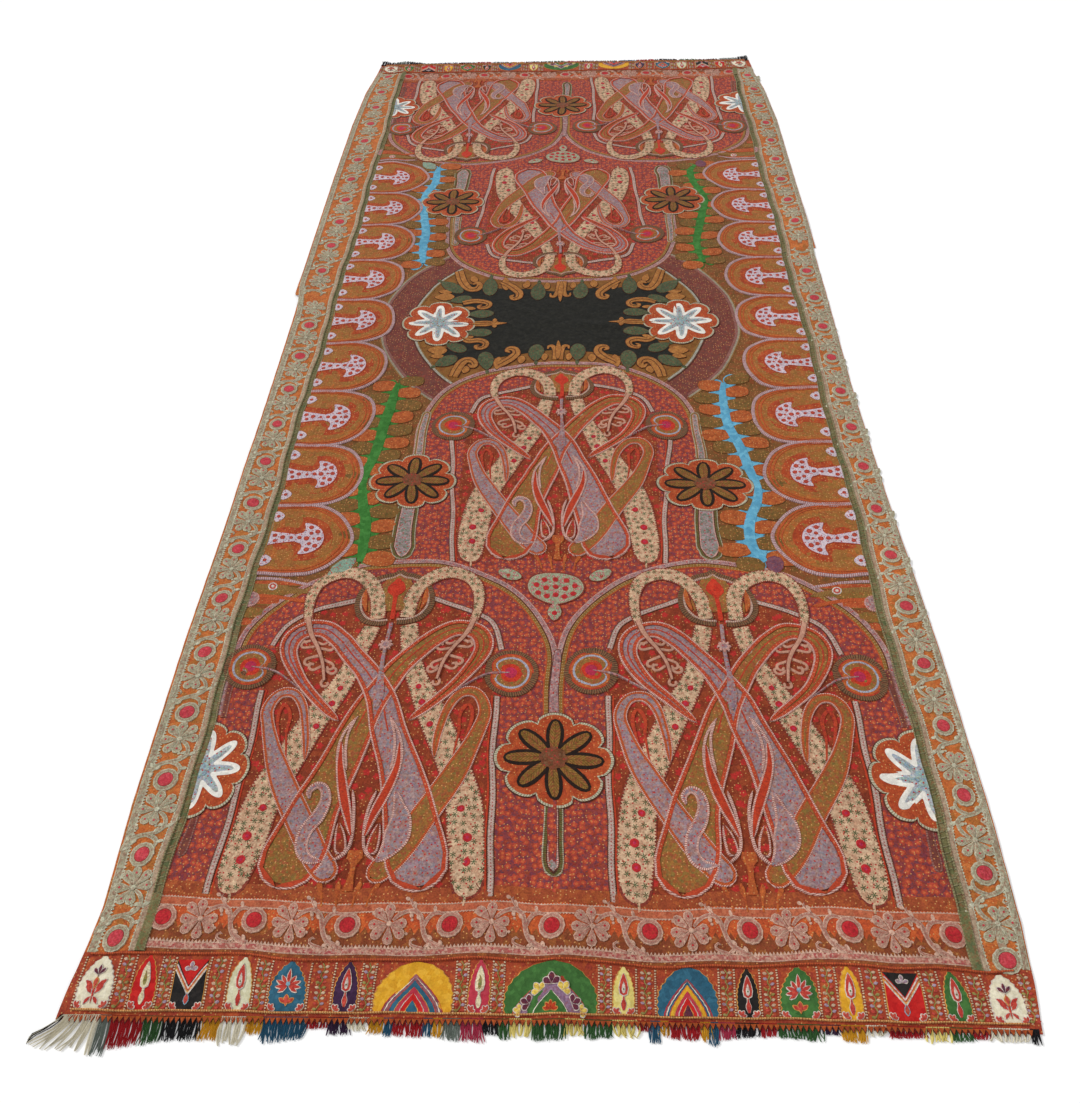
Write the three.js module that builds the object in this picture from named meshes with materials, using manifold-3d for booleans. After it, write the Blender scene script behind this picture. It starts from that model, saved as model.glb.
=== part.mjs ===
// Paisley long shawl of pieced and embroidered wool, laid out flat.
// Units are millimetres. +X runs across the shawl, +Y from its near end to its far end, +Z up.
// Every piece is cut from one softly rippled sheet, so neighbours meet at their seams.

import * as THREE from 'three';
import { mergeVertices } from 'three/addons/utils/BufferGeometryUtils.js';
import Module from 'manifold-3d';

// ---- driving dimensions ----
const CLOTH_LENGTH = 3300; // between the two fringed ends
const WALL = 1.5; // thickness of the wool with its backing stitches
const SEAM = 0.3; // gap between two pieces where they are sewn
const NEAR_REACH = 52; // longest strands of the near fringe
const FAR_REACH = 50; // longest strands of the far fringe
const FRINGE_THICKNESS = 2;
const FLATNESS = 0.05; // facets that bend less than this are merged

const END_BAND = { near: 84, far: 70 }; // depth of the multicoloured end borders
const CROSS_BAND = { near: 82, far: 70 }; // depth of the scrolled cross borders
const GUARD = { left: [-602, -589], right: [617, 630] }; // green guard stripes, from X to X
const BORDER_JOIN = { left: 1780, right: 2000 }; // where two lengths of side border meet

const FIELD_START = END_BAND.near + CROSS_BAND.near;
const FIELD_END = CLOTH_LENGTH - END_BAND.far - CROSS_BAND.far;

// Arched panels. The head of each is a half superellipse of the stated half width and rise,
// springing at `spring`; `points` is +1 for a head towards the far end and -1 towards the near.
const ARCHES = {
  nearLeft: { x: -290, spring: 600, halfWidth: 301, rise: 248, power: 2, points: 1 },
  nearRight: { x: 312, spring: 600, halfWidth: 307, rise: 248, power: 2, points: 1 },
  midNear: { x: 5, spring: 1220, halfWidth: 322, rise: 268, power: 2.4, points: 1 },
  midFar: { x: 0, spring: 2100, halfWidth: 335, rise: 266, power: 2.4, points: -1 },
  farLeft: { x: -290, spring: 2750, halfWidth: 301, rise: 243, power: 2, points: -1 },
  farRight: { x: 312, spring: 2750, halfWidth: 307, rise: 243, power: 2, points: -1 },
};

// The oval round the centre: its black field and the mauve ring outside it.
const OVAL = { x: 0, y: 1663, outer: [458, 424], inner: [372, 356] };

// Edges of the cloth, as distances along it and across it. The pieced lengths make small steps.
const OUTLINE = [
  { along: 0, left: -690, right: 685 },
  { along: 60, left: -682, right: 694 },
  { along: 150, left: -676, right: 702 },
  { along: 320, left: -685, right: 708 },
  { along: 640, left: -690, right: 708 },
  { along: 1000, left: -688, right: 699 },
  { along: 1380, left: -691, right: 696 },
  { along: 1779, left: -696, right: 704 },
  { along: 1781, left: -711, right: 704 },
  { along: 1999, left: -714, right: 706 },
  { along: 2001, left: -714, right: 714 },
  { along: 2420, left: -719, right: 717 },
  { along: 2800, left: -720, right: 720 },
  { along: 3060, left: -712, right: 708 },
  { along: 3180, left: -698, right: 692 },
  { along: CLOTH_LENGTH, left: -688, right: 686 },
];

// How far the fringe strands reach past each end of the cloth.
const NEAR_FRINGE = [
  { across: -716, reach: 18 },
  { across: -690, reach: 40 },
  { across: -610, reach: NEAR_REACH },
  { across: -540, reach: 36 },
  { across: -400, reach: 34 },
  { across: -330, reach: 26 },
  { across: -200, reach: 20 },
  { across: -60, reach: 28 },
  { across: 90, reach: 18 },
  { across: 205, reach: 30 },
  { across: 330, reach: 12 },
  { across: 450, reach: 22 },
  { across: 600, reach: 12 },
  { across: 683, reach: 14 },
];
const FAR_FRINGE = [
  { across: -694, reach: FAR_REACH },
  { across: -650, reach: 26 },
  { across: -600, reach: 44 },
  { across: -520, reach: 18 },
  { across: -340, reach: 28 },
  { across: -180, reach: 20 },
  { across: 0, reach: 26 },
  { across: 180, reach: 18 },
  { across: 360, reach: 30 },
  { across: 520, reach: 18 },
  { across: 640, reach: 30 },
  { across: 688, reach: FAR_REACH },
];

// Soft ridges where the cloth lifts off the surface: centre, size, and turn from the Y axis.
const RIDGES = [
  { x: 28, y: 120, length: 420, width: 95, height: 7, turn: 0 },
  { x: -352, y: 150, length: 360, width: 100, height: 6, turn: -4 },
  { x: -655, y: 30, length: 240, width: 120, height: 6, turn: 70 },
  { x: 470, y: 60, length: 260, width: 90, height: 4, turn: 8 },
  { x: -430, y: 770, length: 330, width: 110, height: 5, turn: -58 },
  { x: 200, y: 560, length: 460, width: 130, height: 3, turn: 12 },
  { x: -668, y: 1080, length: 420, width: 90, height: 5, turn: 3 },
  { x: 672, y: 780, length: 380, width: 90, height: 4, turn: -5 },
  { x: 470, y: 1440, length: 280, width: 90, height: 5, turn: -62 },
  { x: -690, y: 1790, length: 240, width: 80, height: 6, turn: 8 },
  { x: 150, y: 1990, length: 520, width: 120, height: 4, turn: -75 },
  { x: 690, y: 2140, length: 360, width: 90, height: 5, turn: -4 },
  { x: -560, y: 2560, length: 420, width: 110, height: 5, turn: 30 },
  { x: 60, y: 2720, length: 420, width: 130, height: 4, turn: -8 },
  { x: 640, y: 3060, length: 300, width: 110, height: 6, turn: 24 },
  { x: -610, y: 3190, length: 240, width: 100, height: 6, turn: -35 },
];

// Coloured panels of the end borders, from left to right at the near end. The far end is the
// same row turned half round.
const CELLS = [
  { across: -645, width: 48, colour: 'cream' },
  { across: -575, width: 34, colour: 'red' },
  { across: -510, width: 46, colour: 'black' },
  { across: -435, width: 34, colour: 'cream' },
  { across: -365, width: 52, colour: 'blue' },
  { across: -282, width: 34, colour: 'purple' },
  { across: -185, width: 110, colour: 'yellow' },
  { across: -92, width: 30, colour: 'rose' },
  { across: 10, width: 130, colour: 'green' },
  { across: 113, width: 30, colour: 'lemon' },
  { across: 203, width: 84, colour: 'blue' },
  { across: 288, width: 30, colour: 'black' },
  { across: 360, width: 52, colour: 'green' },
  { across: 432, width: 30, colour: 'yellow' },
  { across: 507, width: 52, colour: 'red' },
  { across: 580, width: 34, colour: 'green' },
  { across: 649, width: 46, colour: 'cream' },
];

const COLOURS = {
  field: 0x9c4326,
  arch: 0xa33a22,
  ring: 0x7a4038,
  centre: 0x1f1d1b,
  border: 0x9a8a66,
  cross: 0xa8512f,
  guard: 0x55603a,
  fringe: 0x6b3b2e,
  cream: 0xd9d2bb,
  red: 0xb01f24,
  black: 0x1c1b1c,
  blue: 0x2f5f7c,
  purple: 0x4a2744,
  yellow: 0xd39a1e,
  rose: 0xa83350,
  green: 0x3f6b34,
  lemon: 0xe0d488,
};

// ---- solids ----
const wasm = await Module();
wasm.setup();
const { Manifold, Mesh: SolidMesh } = wasm;

/** A closed geometry as a manifold-3d solid. */
function solidOf(geometry) {
  const bare = geometry.index ? geometry.toNonIndexed() : geometry.clone();
  bare.deleteAttribute('normal');
  bare.deleteAttribute('uv');
  const merged = mergeVertices(bare, 1e-3);
  const solid = new SolidMesh({
    numProp: 3,
    vertProperties: new Float32Array(merged.attributes.position.array),
    triVerts: new Uint32Array(merged.index.array),
  });
  return new Manifold(solid);
}

/** A tall upright prism over a flat outline, to cut the sheet with. */
function prism(shape) {
  const reach = 60;
  const geometry = new THREE.ExtrudeGeometry(shape, { depth: 2 * reach, bevelEnabled: false, curveSegments: 24 });
  return solidOf(geometry.translate(0, 0, -reach));
}

const shapeOf = (points) => new THREE.Shape(points.map(([x, y]) => new THREE.Vector2(x, y)));
const rectangle = (x0, x1, y0, y1) => shapeOf([[x0, y0], [x1, y0], [x1, y1], [x0, y1]]);

/** How far the underside is lifted by the ridges at one place. */
function lift(x, y) {
  let height = 0;
  for (const ridge of RIDGES) {
    const turn = THREE.MathUtils.degToRad(ridge.turn);
    const dx = x - ridge.x;
    const dy = y - ridge.y;
    const along = (dy * Math.cos(turn) - dx * Math.sin(turn)) / (ridge.length / 2);
    const across = (dx * Math.cos(turn) + dy * Math.sin(turn)) / (ridge.width / 2);
    const inside = Math.abs(along) < 1 && Math.abs(across) < 1;
    if (inside) {
      height += ridge.height * Math.cos(along * Math.PI / 2) ** 2 * Math.cos(across * Math.PI / 2) ** 2;
    }
  }
  return height;
}

/** The whole rippled sheet, before it is cut into pieces. */
function rippledSheet(thickness, stepX = 32, stepY = 64) {
  const margin = 2 * stepY;
  const halfWidth = Math.max(...OUTLINE.map((row) => row.right)) + stepX;
  const columns = Math.ceil((2 * halfWidth) / stepX);
  const rows = Math.ceil((CLOTH_LENGTH + 2 * margin) / stepY);
  const position = [];
  for (const top of [0, 1]) {
    for (let j = 0; j <= rows; j += 1) {
      for (let i = 0; i <= columns; i += 1) {
        const x = -halfWidth + i * stepX;
        const y = -margin + j * stepY;
        position.push(x, y, lift(x, y) + top * thickness);
      }
    }
  }
  const at = (top, i, j) => top * (rows + 1) * (columns + 1) + j * (columns + 1) + i;
  const index = [];
  const quad = (a, b, c, d) => index.push(a, b, c, a, c, d);
  for (let j = 0; j < rows; j += 1) {
    for (let i = 0; i < columns; i += 1) {
      quad(at(1, i, j), at(1, i + 1, j), at(1, i + 1, j + 1), at(1, i, j + 1));
      quad(at(0, i, j), at(0, i, j + 1), at(0, i + 1, j + 1), at(0, i + 1, j));
    }
  }
  for (let i = 0; i < columns; i += 1) {
    quad(at(0, i, 0), at(0, i + 1, 0), at(1, i + 1, 0), at(1, i, 0));
    quad(at(0, i + 1, rows), at(0, i, rows), at(1, i, rows), at(1, i + 1, rows));
  }
  for (let j = 0; j < rows; j += 1) {
    quad(at(0, 0, j + 1), at(0, 0, j), at(1, 0, j), at(1, 0, j + 1));
    quad(at(0, columns, j), at(0, columns, j + 1), at(1, columns, j + 1), at(1, columns, j));
  }
  const geometry = new THREE.BufferGeometry();
  geometry.setAttribute('position', new THREE.Float32BufferAttribute(position, 3));
  geometry.setIndex(index);
  return solidOf(geometry);
}

/** A superelliptic arch head with straight sides down to `foot`, grown by `grow` all round. */
function archShape(arch, foot, grow = 0) {
  const steps = 20;
  const points = [];
  for (let i = 0; i <= steps; i += 1) {
    const angle = (Math.PI * i) / steps;
    const across = Math.sign(Math.cos(angle)) * Math.abs(Math.cos(angle)) ** (2 / arch.power);
    const up = Math.abs(Math.sin(angle)) ** (2 / arch.power);
    const x = arch.x + (arch.halfWidth + grow) * across;
    points.push([x, arch.spring + arch.points * (arch.rise + grow) * up]);
  }
  points.push([arch.x - arch.halfWidth - grow, foot], [arch.x + arch.halfWidth + grow, foot]);
  return shapeOf(points);
}

/** The oval with stated half sizes, grown by `grow`. */
function ovalShape([halfWidth, halfLength], grow = 0) {
  const shape = new THREE.Shape();
  shape.absellipse(OVAL.x, OVAL.y, halfWidth + grow, halfLength + grow, 0, 2 * Math.PI);
  return shape;
}

/** A flat fringe slab whose free edge follows the reach of the strands. */
function fringeShape(table, clothEdge, outward) {
  const start = clothEdge + outward * SEAM;
  const first = table[0].across;
  const last = table[table.length - 1].across;
  const edge = table.map((row) => [row.across, clothEdge + outward * row.reach]);
  return shapeOf([[last, start], [first, start], ...edge]);
}

// ---- cutting the sheet ----
const sheet = rippledSheet(WALL);
const outlinePoints = [
  ...OUTLINE.map((row) => [row.right, row.along]),
  ...OUTLINE.map((row) => [row.left, row.along]).reverse(),
];
const cloth = sheet.intersect(prism(shapeOf(outlinePoints)));
const half = SEAM / 2;
const farEdge = 2 * CLOTH_LENGTH;
const beyond = 800; // past either side edge

const keep = (shape) => cloth.intersect(prism(shape));
const without = (solid, ...shapes) => shapes.reduce((rest, shape) => rest.subtract(prism(shape)), solid);

const group = new THREE.Group();
group.name = 'paisley_shawl';

/** Adds one named piece to the shawl in its own material. */
function addPiece(name, solid, colour) {
  const { vertProperties, triVerts } = solid.simplify(FLATNESS).getMesh();
  const geometry = new THREE.BufferGeometry();
  geometry.setAttribute('position', new THREE.BufferAttribute(vertProperties, 3));
  geometry.setIndex(new THREE.BufferAttribute(triVerts, 1));
  geometry.computeVertexNormals();
  const material = new THREE.MeshStandardMaterial({ color: COLOURS[colour], roughness: 0.92, metalness: 0 });
  const mesh = new THREE.Mesh(geometry, material);
  mesh.name = name;
  group.add(mesh);
}

// End borders: one piece for each coloured panel, joined midway between panels.
function addEndBorder(end, y0, y1) {
  const cells = CELLS.map((cell) => ({ ...cell, across: end === 'far' ? -cell.across : cell.across }));
  cells.sort((a, b) => a.across - b.across);
  cells.forEach((cell, i) => {
    const between = (a, b) => (a.across + a.width / 2 + b.across - b.width / 2) / 2;
    const from = i === 0 ? -beyond : between(cells[i - 1], cell) + half;
    const to = i === cells.length - 1 ? beyond : between(cell, cells[i + 1]) - half;
    const number = String(i + 1).padStart(2, '0');
    addPiece(`${end}_end_panel_${number}`, keep(rectangle(from, to, y0, y1)), cell.colour);
  });
}
addEndBorder('near', -1, END_BAND.near - half);
addEndBorder('far', CLOTH_LENGTH - END_BAND.far + half, CLOTH_LENGTH + 1);

// Side borders in two lengths each, and the guard stripes inside them.
const bordersStart = END_BAND.near + half;
const bordersEnd = CLOTH_LENGTH - END_BAND.far - half;
const sides = [
  { side: 'left', from: -beyond, to: GUARD.left[0] - half, guard: GUARD.left },
  { side: 'right', from: GUARD.right[1] + half, to: beyond, guard: GUARD.right },
];
for (const { side, from, to, guard } of sides) {
  const join = BORDER_JOIN[side];
  addPiece(`${side}_border_near`, keep(rectangle(from, to, bordersStart, join - half)), 'border');
  addPiece(`${side}_border_far`, keep(rectangle(from, to, join + half, bordersEnd)), 'border');
  addPiece(`${side}_guard`, keep(rectangle(guard[0] + half, guard[1] - half, bordersStart, bordersEnd)), 'guard');
}

// Cross borders between the guard stripes.
const innerLeft = GUARD.left[1] + half;
const innerRight = GUARD.right[0] - half;
addPiece('near_cross_border', keep(rectangle(innerLeft, innerRight, bordersStart, FIELD_START - half)), 'cross');
addPiece('far_cross_border', keep(rectangle(innerLeft, innerRight, FIELD_END + half, bordersEnd)), 'cross');

// The field inside the borders.
const field = keep(rectangle(innerLeft, innerRight, FIELD_START + half, FIELD_END - half));
const nearArches = [archShape(ARCHES.nearLeft, 0), archShape(ARCHES.nearRight, 0)];
const farArches = [archShape(ARCHES.farLeft, farEdge), archShape(ARCHES.farRight, farEdge)];
const union = (shapes) => Manifold.union(shapes.map(prism));
addPiece('near_arched_field', field.intersect(union(nearArches)), 'arch');
addPiece('far_arched_field', field.intersect(union(farArches)), 'arch');

const grownNear = [archShape(ARCHES.nearLeft, 0, SEAM), archShape(ARCHES.nearRight, 0, SEAM)];
const grownFar = [archShape(ARCHES.farLeft, farEdge, SEAM), archShape(ARCHES.farRight, farEdge, SEAM)];
const middle = without(field, ...grownNear, ...grownFar);
addPiece('middle_near_arch', middle.intersect(prism(archShape(ARCHES.midNear, 0))), 'arch');
addPiece('middle_far_arch', middle.intersect(prism(archShape(ARCHES.midFar, farEdge))), 'arch');

const grownMiddle = [archShape(ARCHES.midNear, 0, SEAM), archShape(ARCHES.midFar, farEdge, SEAM)];
const surround = without(middle, ...grownMiddle);
addPiece('centre_field', surround.intersect(prism(ovalShape(OVAL.inner))), 'centre');

const ring = without(surround.intersect(prism(ovalShape(OVAL.outer))), ovalShape(OVAL.inner, SEAM));
const flank = without(surround, ovalShape(OVAL.outer, SEAM));
const halves = { left: rectangle(-beyond, 0, 0, farEdge), right: rectangle(0, beyond, 0, farEdge) };
for (const [side, shape] of Object.entries(halves)) {
  addPiece(`${side}_ring`, ring.intersect(prism(shape)), 'ring');
  addPiece(`${side}_flank`, flank.intersect(prism(shape)), 'field');
}

// Fringes lie flat against the ends of the cloth.
const fringeSheet = rippledSheet(FRINGE_THICKNESS);
const nearFringe = fringeSheet.intersect(prism(fringeShape(NEAR_FRINGE, 0, -1)));
const farFringe = fringeSheet.intersect(prism(fringeShape(FAR_FRINGE, CLOTH_LENGTH, 1)));
addPiece('near_fringe', nearFringe, 'fringe');
addPiece('far_fringe', farFringe, 'fringe');

// The origin is under the middle of the whole shawl, fringes included.
group.position.y = -(CLOTH_LENGTH + FAR_REACH - NEAR_REACH) / 2;

export default group;
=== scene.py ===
"""Looks of a pieced and embroidered wool long shawl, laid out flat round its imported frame.

Every length is in metres, save in the rows that mm() is given. On the cloth, X runs across from
the middle and Y runs along from the near edge, where the frame's own Y starts at the middle of
the whole shawl.
"""

from __future__ import annotations

import logging
import math
from dataclasses import dataclass, field
from enum import Enum
from functools import lru_cache
from typing import Callable, ClassVar, Optional, Sequence, Union

import bpy
import numpy as np
from mathutils import Matrix, Vector
from mathutils.geometry import delaunay_2d_cdt

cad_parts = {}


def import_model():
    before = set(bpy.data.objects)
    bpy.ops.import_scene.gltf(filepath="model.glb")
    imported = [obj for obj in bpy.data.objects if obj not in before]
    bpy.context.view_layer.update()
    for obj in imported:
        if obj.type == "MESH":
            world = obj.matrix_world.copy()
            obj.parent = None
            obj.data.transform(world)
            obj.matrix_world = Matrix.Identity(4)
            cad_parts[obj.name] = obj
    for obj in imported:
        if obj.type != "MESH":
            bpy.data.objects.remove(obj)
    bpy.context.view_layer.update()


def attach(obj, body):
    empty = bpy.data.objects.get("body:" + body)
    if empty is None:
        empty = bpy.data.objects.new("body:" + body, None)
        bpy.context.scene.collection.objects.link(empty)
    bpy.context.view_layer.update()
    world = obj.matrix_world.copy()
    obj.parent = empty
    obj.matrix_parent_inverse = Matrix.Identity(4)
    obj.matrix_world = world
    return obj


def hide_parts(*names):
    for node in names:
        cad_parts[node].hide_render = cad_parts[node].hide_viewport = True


LOG = logging.getLogger("shawl")
Array = np.ndarray
Piece = bpy.types.Object
Point = tuple[float, float]
Colour = tuple[float, float, float, float]

WALL = 0.0015  # wool with its backing stitches
CLOTH_LENGTH = 3.3
NEAR_BAND, FAR_BAND = 0.084, 3.23  # inner edges of the two multicoloured end borders
NEAR_CROSS, FAR_CROSS = 0.166, 3.16  # inner edges of the two scrolled cross borders
LEFT_GUARD, RIGHT_GUARD = (-0.602, -0.589), (0.617, 0.63)
FIELD_SPAN = 3.33  # less Y, it gives the place in the far half that answers a Y of the near half
FIRST_LEVEL, LEVEL = 0.0005, 0.00025  # height of the lowest stitching, and of each layer on it
CROWN, LOW_CROWN, FULL_CROWN = 0.0003, 0.0002, 0.0004  # rise of a line's middle, a thin line's, a fill's
RING_STEP, RING_CROWN = 0.00012, 0.00025  # rise to the next ring of a rosette, and of a ring's middle
SKIRT, SUNK = 0.0005, -0.0002  # the edge of a band is tucked this far out, and into the face


# ---------------------------------------------------------------- shader nodes
def dye(code: str) -> Colour:
    """The linear colour of a dye that is named by its six hexadecimal digits."""
    parts = [int(code[i : i + 2], 16) / 255 for i in (0, 2, 4)]
    return (*(p / 12.92 if p <= 0.04045 else ((p + 0.055) / 1.055) ** 2.4 for p in parts), 1.0)


class Wire:
    """A value on its way between shader nodes, with arithmetic that adds Math nodes."""

    def __init__(self, bath: Dyebath, socket: bpy.types.NodeSocket) -> None:
        """Keeps the output socket and the bath that it belongs to."""
        self.bath = bath
        self.socket = socket

    def __add__(self, other: Value) -> Wire:
        """The sum."""
        return self.bath.math("ADD", self, other)

    __radd__ = __add__

    def __sub__(self, other: Value) -> Wire:
        """This less the other."""
        return self.bath.math("SUBTRACT", self, other)

    def __rsub__(self, other: Value) -> Wire:
        """The other less this."""
        return self.bath.math("SUBTRACT", other, self)

    def __mul__(self, other: Value) -> Wire:
        """The product."""
        return self.bath.math("MULTIPLY", self, other)

    __rmul__ = __mul__

    def __truediv__(self, other: Value) -> Wire:
        """This over the other."""
        return self.bath.math("DIVIDE", self, other)

    def __gt__(self, other: Value) -> Wire:
        """One where this is greater, and otherwise zero."""
        return self.bath.math("GREATER_THAN", self, other)


Value = Union[Wire, float]


class Dyebath:
    """The node tree of one finish while it is mixed."""

    def __init__(self, name: str) -> None:
        """Starts an empty material of that name.

        Args:
            name: The finish's name.
        """
        self.material = bpy.data.materials.new(name)
        self.material.use_nodes = True
        self.tree = self.material.node_tree
        self.tree.nodes.clear()

    def node(self, kind: str, settings: dict, inputs: dict) -> bpy.types.Node:
        """Adds one node.

        Args:
            kind: The node's type, without its ShaderNode prefix.
            settings: Its properties, which are set first; stops fills a colour ramp.
            inputs: Values or wires for its sockets, by name or by number.

        Returns:
            The new node.
        """
        node = self.tree.nodes.new("ShaderNode" + kind)
        for key, value in settings.items():
            if key == "stops":
                self._fill_ramp(node, value)
            else:
                setattr(node, key, value)
        for key, value in inputs.items():
            if isinstance(value, Wire):
                self.tree.links.new(value.socket, node.inputs[key])
            else:
                node.inputs[key].default_value = value
        return node

    @staticmethod
    def _fill_ramp(node: bpy.types.Node, stops: Sequence[tuple[float, Colour]]) -> None:
        """Sets a ramp's stops to these places and colours.

        Args:
            node: The ramp.
            stops: Its places, each with its colour.
        """
        elements = node.color_ramp.elements
        while len(elements) < len(stops):
            elements.new(0.5)
        while len(elements) > len(stops):
            elements.remove(elements[-1])
        for element, (place, colour) in zip(elements, stops):
            element.position = place
            element.color = colour

    def wire(self, node: bpy.types.Node, output: Union[str, int] = 0) -> Wire:
        """One output of a node as a wire."""
        return Wire(self, node.outputs[output])

    def math(self, operation: str, a: Value, b: Value = 0.0, clamp: bool = False) -> Wire:
        """The outcome of one Math node."""
        settings = {"operation": operation, "use_clamp": clamp}
        return self.wire(self.node("Math", settings, {0: a, 1: b}))

    def vector(self, operation: str, a: Wire, b: Union[Wire, tuple]) -> Wire:
        """The vector outcome of one Vector Math node."""
        return self.wire(self.node("VectorMath", {"operation": operation}, {0: a, 1: b}))

    def blend(self, factor: Value, a: Union[Wire, Colour], b: Union[Wire, Colour]) -> Wire:
        """Colour a where the factor is zero, and colour b where it is one."""
        node = self.node("Mix", {"data_type": "RGBA"}, {0: factor, 6: a, 7: b})
        return self.wire(node, 2)

    def shade(self, colour: Wire, factor: Wire) -> Wire:
        """A colour made darker or lighter by a factor round one."""
        scaled = self.node("VectorMath", {"operation": "SCALE"}, {0: colour, "Scale": factor})
        return self.wire(scaled)

    def edge(self, value: Value, softness: float) -> Wire:
        """A mask that rises from zero to one where value passes zero."""
        return self.math("ADD", value * (1 / softness), 0.5, clamp=True)

    def noise(self, where: Wire, size: float, detail: float = 2.0) -> Wire:
        """Soft noise from zero to one with features of about that size."""
        inputs = {"Vector": where, "Scale": 1 / size, "Detail": detail}
        return self.wire(self.node("TexNoise", {"noise_dimensions": "3D"}, inputs), "Fac")

    def cells(self, where: Wire, size: float, scatter: float) -> bpy.types.Node:
        """A Voronoi node with cells of that size."""
        inputs = {"Vector": where, "Scale": 1 / size, "Randomness": scatter}
        return self.node("TexVoronoi", {"voronoi_dimensions": "2D", "feature": "F1"}, inputs)

    def place(self) -> Wire:
        """Where a point of the surface is, in the shawl's own frame."""
        return self.wire(self.node("TexCoord", {}, {}), "Object")

    def stitch_place(self) -> tuple[Wire, Wire]:
        """Distance along a line of stitching, and across it from its middle."""
        split = self.node("SeparateXYZ", {}, {0: self.wire(self.node("UVMap", {"uv_map": "Stitches"}, {}))})
        return self.wire(split, 0), self.wire(split, 1)


# ---------------------------------------------------------------- finishes
@dataclass(frozen=True)
class Sprig:
    """A small flower, leaf or dot that is strewn over a ground."""

    petal: str
    radius: float
    spacing: float
    heart: str = ""
    petals: int = 5
    depth: float = 0.25
    scatter: float = 0.7
    share: float = 1.0
    shift: float = 0.0

    def strew(self, bath: Dyebath, ground: Wire, where: Wire) -> Wire:
        """Strews the sprig over a ground.

        Args:
            bath: The bath that the nodes go into.
            ground: The colour underneath.
            where: The place on the cloth.

        Returns:
            The ground with the sprigs on it.
        """
        moved = bath.vector("ADD", where, (self.shift, 0.7 * self.shift, 0.0))
        cells = bath.cells(moved, self.spacing, self.scatter)
        local = bath.vector("SUBTRACT", moved, bath.wire(cells, "Position"))
        split = bath.node("SeparateXYZ", {}, {0: local})
        x, y = bath.wire(split, 0), bath.wire(split, 1)
        reach = bath.math("SQRT", x * x + y * y)
        chance = bath.wire(bath.node("SeparateColor", {}, {0: bath.wire(cells, "Color")}), 0)
        wave = bath.math("COSINE", bath.math("ARCTAN2", y, x) * float(self.petals) + chance * 9.0)
        outline = (wave * self.depth + (1 - self.depth)) * self.radius
        mask = bath.edge(outline - reach, 0.25 * self.radius)
        if self.share < 1:
            mask = mask * (chance > 1 - self.share)
        colour = bath.blend(mask, ground, dye(self.petal))
        if self.heart:
            inner = bath.edge(0.4 * self.radius - reach, 0.25 * self.radius)
            colour = bath.blend(inner * mask, colour, dye(self.heart))
        return colour


@dataclass(frozen=True)
class Finish:
    """A way that a surface of the shawl is finished."""

    name: str
    stitched: ClassVar[float] = 1.0  # how much of the ground's own madder shows between the stitches

    def colour(self, bath: Dyebath) -> Wire:
        """The colour of the surface, before wear."""
        raise NotImplementedError

    def relief(self, bath: Dyebath) -> Wire:
        """Height of the threads, in parts of a millimetre."""
        return bath.noise(bath.place(), 0.0016, 1.0)

    @lru_cache(maxsize=None)
    def dress(self) -> bpy.types.Material:
        """Mixes the finish.

        Returns:
            Its material, made once.
        """
        bath = Dyebath(self.name)
        where = bath.place()
        fine = bath.noise(where, 0.0026, 2.0) * (0.5 + 0.7 * self.stitched)
        mottle = fine + bath.noise(where, 0.016, 1.0) * 0.4
        faded = bath.noise(where, 0.32, 2.0) * 0.3 + mottle + (0.4 - 0.35 * self.stitched)
        between = bath.edge(bath.noise(where, 0.0042, 3.0) - 0.57, 0.07) * (0.36 * self.stitched)
        colour = bath.shade(bath.blend(between, self.colour(bath), dye("8a3a28")), faded)
        puckers = bath.noise(where, 0.013, 2.0) * 0.0021 + bath.noise(where, 0.034, 1.0) * 0.0026
        height = self.relief(bath) * 0.0003 + puckers
        bump = bath.node("Bump", {}, {"Strength": 1.0, "Distance": 1.0, "Height": height})
        wool = {
            "Base Color": colour,
            "Roughness": 0.88,
            "Specular IOR Level": 0.12,
            "Sheen Weight": 0.04,
            "Sheen Roughness": 0.5,
            "Normal": bath.wire(bump),
        }
        shader = bath.node("BsdfPrincipled", {}, wool)
        bath.node("OutputMaterial", {}, {"Surface": bath.wire(shader)})
        return bath.material


@dataclass(frozen=True)
class Wool(Finish):
    """Woven or closely stitched ground, plain or strewn with sprigs."""

    shades: str = "a04a30"  # dyes of the ground and of the patches in it
    patch_size: float = 0.006
    sprigs: tuple[Sprig, ...] = ()

    def colour(self, bath: Dyebath) -> Wire:
        """The ground with its patches and sprigs.

        Args:
            bath: The bath that its nodes go into.

        Returns:
            The colour.
        """
        where = bath.place()
        shades = self.shades.split()
        cells = bath.cells(where, self.patch_size, 1.0)
        chance = bath.wire(bath.node("SeparateColor", {}, {0: bath.wire(cells, "Color")}), 1)
        stops = [((i + 0.5) / len(shades), dye(code)) for i, code in enumerate(shades)]
        colour = bath.wire(bath.node("ValToRGB", {"stops": stops}, {"Fac": chance}))
        for sprig in self.sprigs:
            colour = sprig.strew(bath, colour, where)
        return colour


@dataclass(frozen=True)
class Broadcloth(Wool):
    """Smooth fulled cloth that is let in or laid on, with no stitching over it."""

    stitched: ClassVar[float] = 0.0


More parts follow.
